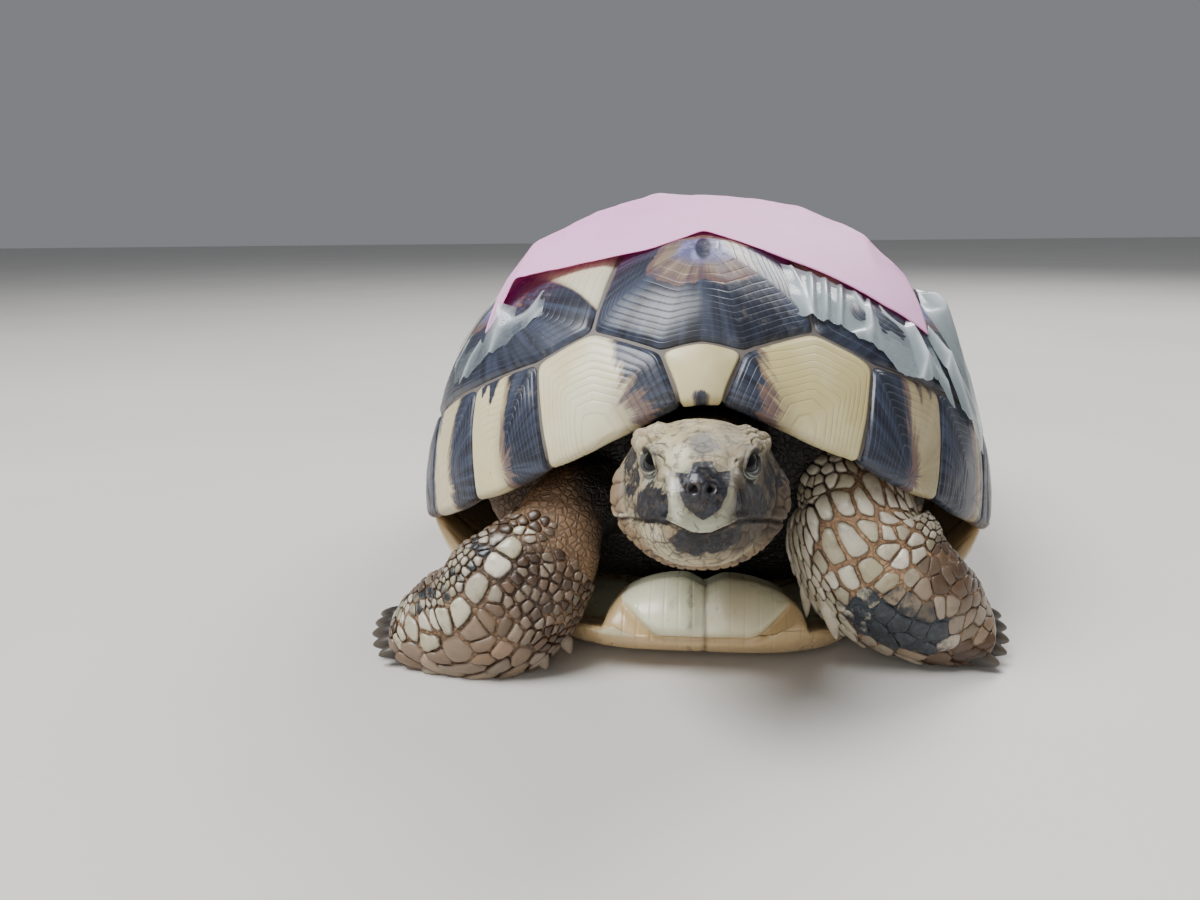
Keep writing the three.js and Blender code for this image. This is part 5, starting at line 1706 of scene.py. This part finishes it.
# ---------------------------------------------------------------- claws
def claw_finish(t):
    """Horn, dark at the root and brownish grey towards the tip."""
    grain = t.noise(t.place(), 800.0, 4.0, 0.6)
    colour = t.coats(t.mix(t.step("along", 0.3, 1.0), (34, 29, 26), (84, 76, 64)),
                     (grain, 0.4, (50, 44, 38)))
    return {"Base Color": colour, "Roughness": 0.4, "Normal": t.bump(0.3, 0.0001, grain)}


CLAW_SIZES = [0.8, 0.95, 1.0, 0.95, 0.82]
FEET = {   # first and last claw root, aim, number, length, root radius
    "foreleg_left": ((45.8, -60.2, 2.6), (49.0, -51.0, 6.0), (0.96, -0.06, 0.02), 5, 6.2, 3.1),
    "foreleg_right": ((-50.4, -66.4, 2.6), (-53.4, -58.0, 5.2), (-0.97, 0.0, 0.10), 5, 6.0, 3.0),
    "hindleg_left": ((46, 40.5, 2.2), (49.2, 51.5, 2.6), (0.86, -0.42, -0.12), 4, 6.4, 1.8),
    "hindleg_right": ((-46, 40.5, 2.2), (-49.2, 51.5, 2.6), (-0.86, -0.42, -0.12), 4, 6.4, 1.8),
}


def build_claws():
    """Each claw is a cone with its tip bent down: radius R (1 - t)^0.55, drop 0.16 L t^2."""
    finish = material("claw_horn", claw_finish)
    t, turn = tube_grid(22, 20, 0.0, 0.985)
    for foot, (first, last, aim, number, length, thick) in FEET.items():
        shape = Shape()
        for k in range(number):
            share = k / (number - 1)
            size = CLAW_SIZES[k]
            heading = unit(np.array(aim) + (0, (share - 0.5) * 0.7, 0))
            side = unit(np.array([-heading[1], heading[0], 0.0]))
            up = np.cross(side, heading)
            up = up * np.sign(up[2])
            along = t * length * size
            radius = thick * size * (1 - t) ** 0.55 * (1 - 0.25 * (1 - t) ** 6)
            sag = (0.16 * length * size * t ** 2)[..., None]
            centre = (lerp(np.array(first, float), np.array(last, float), share) - heading * 0.6
                      + heading * along[..., None] - (0, 0, 1) * sag)
            points = (centre + side * (radius * 0.85 * np.cos(turn))[..., None]
                      + up * (radius * 0.8 * np.sin(turn))[..., None])
            shape.add_tube(points, centre[[0, -1], 0], np.dot(np.cross(side, up), heading) < 0, 0.0,
                           along=np.concatenate([t.ravel(), [0, 1]]))
        replaced = [f"{foot}_claw_{k + 1}" for k in range(number)]
        shape.build(f"{foot}_claws", "claw", finish, replaced)


build_claws()


# ---------------------------------------------------------------- the paper cape and its tape
PAPER_THICKNESS, FILM_THICKNESS = 0.16, 0.08
CAPE_X = np.array([-39, -33.2, -21, -9.5, 0, 10, 19.5, 30.5, 38.5])
CAPE_Y = np.array([[-44, -44, -46.2, -50, -47.8, -50, -50.6, -48.8, -45],
                   *([y] * 9 for y in (-24, -4, 18, 42))], float)
CAPE_OFF = np.array([[0.8, 6.4, 1.9, 1.9, 2.3, 1.9, 1.9, 1.8, 1.4],
                     [2.0, 4.8, 3.6, 3.0, 1.8, 1.6, 2.6, 3.6, 2.0],
                     [2.2, 4.2, 3.0, 3.2, 1.8, 1.6, 2.6, 3.4, 2.0],
                     [2.0, 3.4, 2.6, 1.2, 1.2, 1.4, 2.2, 3.0, 1.8],
                     [1.4, 2.6, 2.6, 2.2, 2.2, 2.0, 2.4, 2.6, 1.6]])


def cape_folds(u, v):
    """Point of the folded sheet, u across and v along from 0 to 1: flat triangles between the fold
    points, with the diagonals taken in turn."""
    p, q = u * (len(CAPE_X) - 1), v * (len(CAPE_Y) - 1)
    i = np.minimum(p.astype(int), len(CAPE_X) - 2)
    j = np.minimum(q.astype(int), len(CAPE_Y) - 2)
    a, b = p - i, q - j
    x, y = CAPE_X + 0 * CAPE_Y, CAPE_Y
    nodes = np.stack([x, y, dome_height(x, y) + CAPE_OFF], -1)
    a, b = a[..., None], b[..., None]
    one, two, three, four = (nodes[j + n, i + m] for m, n in ((0, 0), (1, 0), (0, 1), (1, 1)))
    lower = np.where(a + b < 1, one + a * (two - one) + b * (three - one),
                     four + (1 - a) * (three - four) + (1 - b) * (two - four))
    upper = np.where(a > b, one + a * (two - one) + b * (four - two),
                     one + a * (four - three) + b * (three - one))
    return np.where((((i + j) % 2) == 0)[..., None], lower, upper)


def paper_finish(t):
    """Thin pink paper, with painted shade: its under side is drawn deep magenta."""
    place = t.place()
    fibre = t.noise(place, 900.0, 4.0, 0.6)
    pink = t.mix(t.noise(place, 60.0, 3.0), (254, 150, 216), (255, 184, 232))
    # Painted shade: the under side of the paper is drawn magenta.
    pink = t.mix("under", pink, (236, 62, 140))
    bump = t.bump(0.25, 0.0001, fibre)
    return {"Base Color": pink, "Roughness": 0.62, "Normal": bump, "Subsurface Weight": 0.35,
            "Subsurface Radius": (0.004, 0.0015, 0.0025), "Subsurface Scale": 0.5}


def add_sheet(shape, top, thickness, **values):
    """Closes a grid of points into a thin sheet, its under side set back along the normal."""
    rows, columns = top.shape[:2]
    over_u, over_v = np.gradient(top, axis=1), np.gradient(top, axis=0)
    normal = unit(np.cross(over_u, over_v))
    below = top - normal * thickness
    both = {key: np.stack([value, value]) for key, value in values.items()}
    shape.add(np.stack([top, below]), sheet_faces(rows, columns),
              under=np.repeat([0.0, 1.0], rows * columns), **both)


def build_cape():
    """The paper: the folded sheet softened by running means, waved by its creases, and held clear of
    the horn by a soft maximum, 0.4 ln(1 + e^(h / 0.4))."""
    rows, columns = 190, 180
    u, v = np.meshgrid(np.linspace(0, 1, columns), np.linspace(0, 1, rows))
    top = cape_folds(u, v)
    for _ in range(3):
        soft = top.copy()
        soft[1:-1] = (top[:-2] + 2 * top[1:-1] + top[2:]) / 4
        soft[:, 1:-1] = (soft[:, :-2] + 2 * soft[:, 1:-1] + soft[:, 2:]) / 4
        top = soft
    creases = 1 - np.abs(waves(top * (1, 1, 0.3), 46.0, 71, 2))
    top[..., 2] += 0.3 + 0.35 * creases ** 3 + 0.16 * waves(top, 9.0, 72, 3)
    x, y = top[..., 0], top[..., 1]
    shell = dome_height(x, y) + 1.65 * steepness(x, y) + 0.6 * bell(np.hypot(x, y + 50.5), 9.0)
    top[..., 2] = shell + 0.4 * np.logaddexp(0, (top[..., 2] - shell) / 0.4)
    shape = Shape()
    add_sheet(shape, top, PAPER_THICKNESS)
    made = shape.build("pink_paper", "paper", material("pink_paper", paper_finish), ("paper_cape",))


build_cape()


def film_finish(t):
    """Clear film: as milky as its haze where flat, bright along its creases."""
    crumple, haze = "crumple", "haze"
    cloud = t.noise(t.place(), 240.0, 4.0, 0.6)
    see = t.plus(t.times(crumple, 0.45), t.times(cloud, 0.3))
    see = t.math("ADD", see, t.minus(t.times(haze, 0.75), 0.12), clamp=True)
    colour = t.mix(crumple, (164, 178, 182), (232, 238, 244))
    return {"Base Color": colour, "Roughness": 0.2, "Alpha": see, "Coat Weight": 0.5,
            "Coat Roughness": 0.08}


def build_film(name, inner, outer, seed, stand, haze, replaced, folds=()):
    """Film between two smooth lines of plan places, held `stand` mm off the dome, its outer edge
    ragged by noise. Each fold is a ridge (u, v, width along, width across, height)."""
    rows, columns = 64, 150
    u, v = np.meshgrid(np.linspace(0, 1, columns), np.linspace(0, 1, rows))
    near, far = catmull(inner, u[0])[None], catmull(outer, u[0])[None]
    plan = lerp(near, far, v[..., None])
    ragged = 0.6 * waves(plan, 6.0, seed, 3) * v ** 4
    plan = plan + ragged[..., None] * unit(far - near)
    ridge = 1 - np.abs(waves(plan, 17.0, seed + 1, 2))
    crumple = 0.7 * np.clip(ridge, 0, 1) ** 7
    lift = stand + 0.40 * crumple + 0.10 * waves(plan, 8.0, seed + 2, 2)
    for at_u, at_v, wide_u, wide_v, high in folds:
        one = np.maximum(1 - np.abs(u - at_u) / wide_u, 0) * bell(v - at_v, wide_v)
        lift, crumple = lift + high * one, np.maximum(crumple, one ** 3)
    x, y = plan[..., 0], plan[..., 1]
    top = np.stack([x, y, dome_height(x, y) + lift * steepness(x, y)], -1)
    over_u, over_v = top[0, 1] - top[0, 0], top[1, 0] - top[0, 0]
    if np.cross(over_u, over_v)[2] < 0:
        top, crumple = top[:, ::-1], crumple[:, ::-1]
    shape = Shape()
    add_sheet(shape, top, FILM_THICKNESS, crumple=crumple, haze=haze + 0 * crumple)
    made = shape.build(name, "tape", FILM, (replaced,))


FILM = material("clear_tape", film_finish)
build_film("film_front",
           [(9.0, -50.6), (14, -50.2), (19.5, -50.0), (26, -49.0), (31, -47.9), (38.3, -44.6)],
           [(10.6, -56.4), (13.6, -59.7), (19, -59.4), (25, -57.6), (32.5, -56.8), (42.5, -49.2)],
           81, 1.0, 0.62, "tape_front",
           [(0.34, 0.5, 0.03, 0.6, 0.5), (0.42, 0.4, 0.025, 0.6, 0.6), (0.50, 0.4, 0.02, 0.7, 0.5),
            (0.66, 0.5, 0.03, 0.5, 0.6), (0.90, 0.6, 0.04, 0.6, 1.2)])
build_film("film_left",
           [(-27, -46.5), (-33, -45.4), (-39.4, -44.6), (-39.6, -38), (-39.6, -30), (-39.6, -23)],
           [(-27, -52.5), (-34, -51.5), (-41.5, -47.5), (-46.0, -41), (-48.0, -32), (-48.5, -22)],
           84, 1.1, 0.14, "tape_left", [(0.28, 0.1, 0.10, 0.5, 2.6)])
build_film("film_right",
           [(38.4, -44.8), (39.2, -40), (39.2, -34), (39.2, -28), (39.2, -22), (39.2, -16)],
           [(45.0, -47.0), (50.0, -41.5), (51.5, -35), (52.0, -28), (51.8, -21), (51.0, -14)],
           87, 1.05, 0.7, "tape_right",
           [(0.07, 0.5, 0.06, 1.2, 1.3), (0.50, 0.35, 0.20, 0.3, 3.2)])
build_film("film_rear", [(-9, 42.4), (-3, 42.4), (3, 42.4), (9, 42.4)],
           [(-8, 51), (-3, 51.5), (3, 51.5), (8, 51)], 90, 1.4, 0.5, "tape_rear")
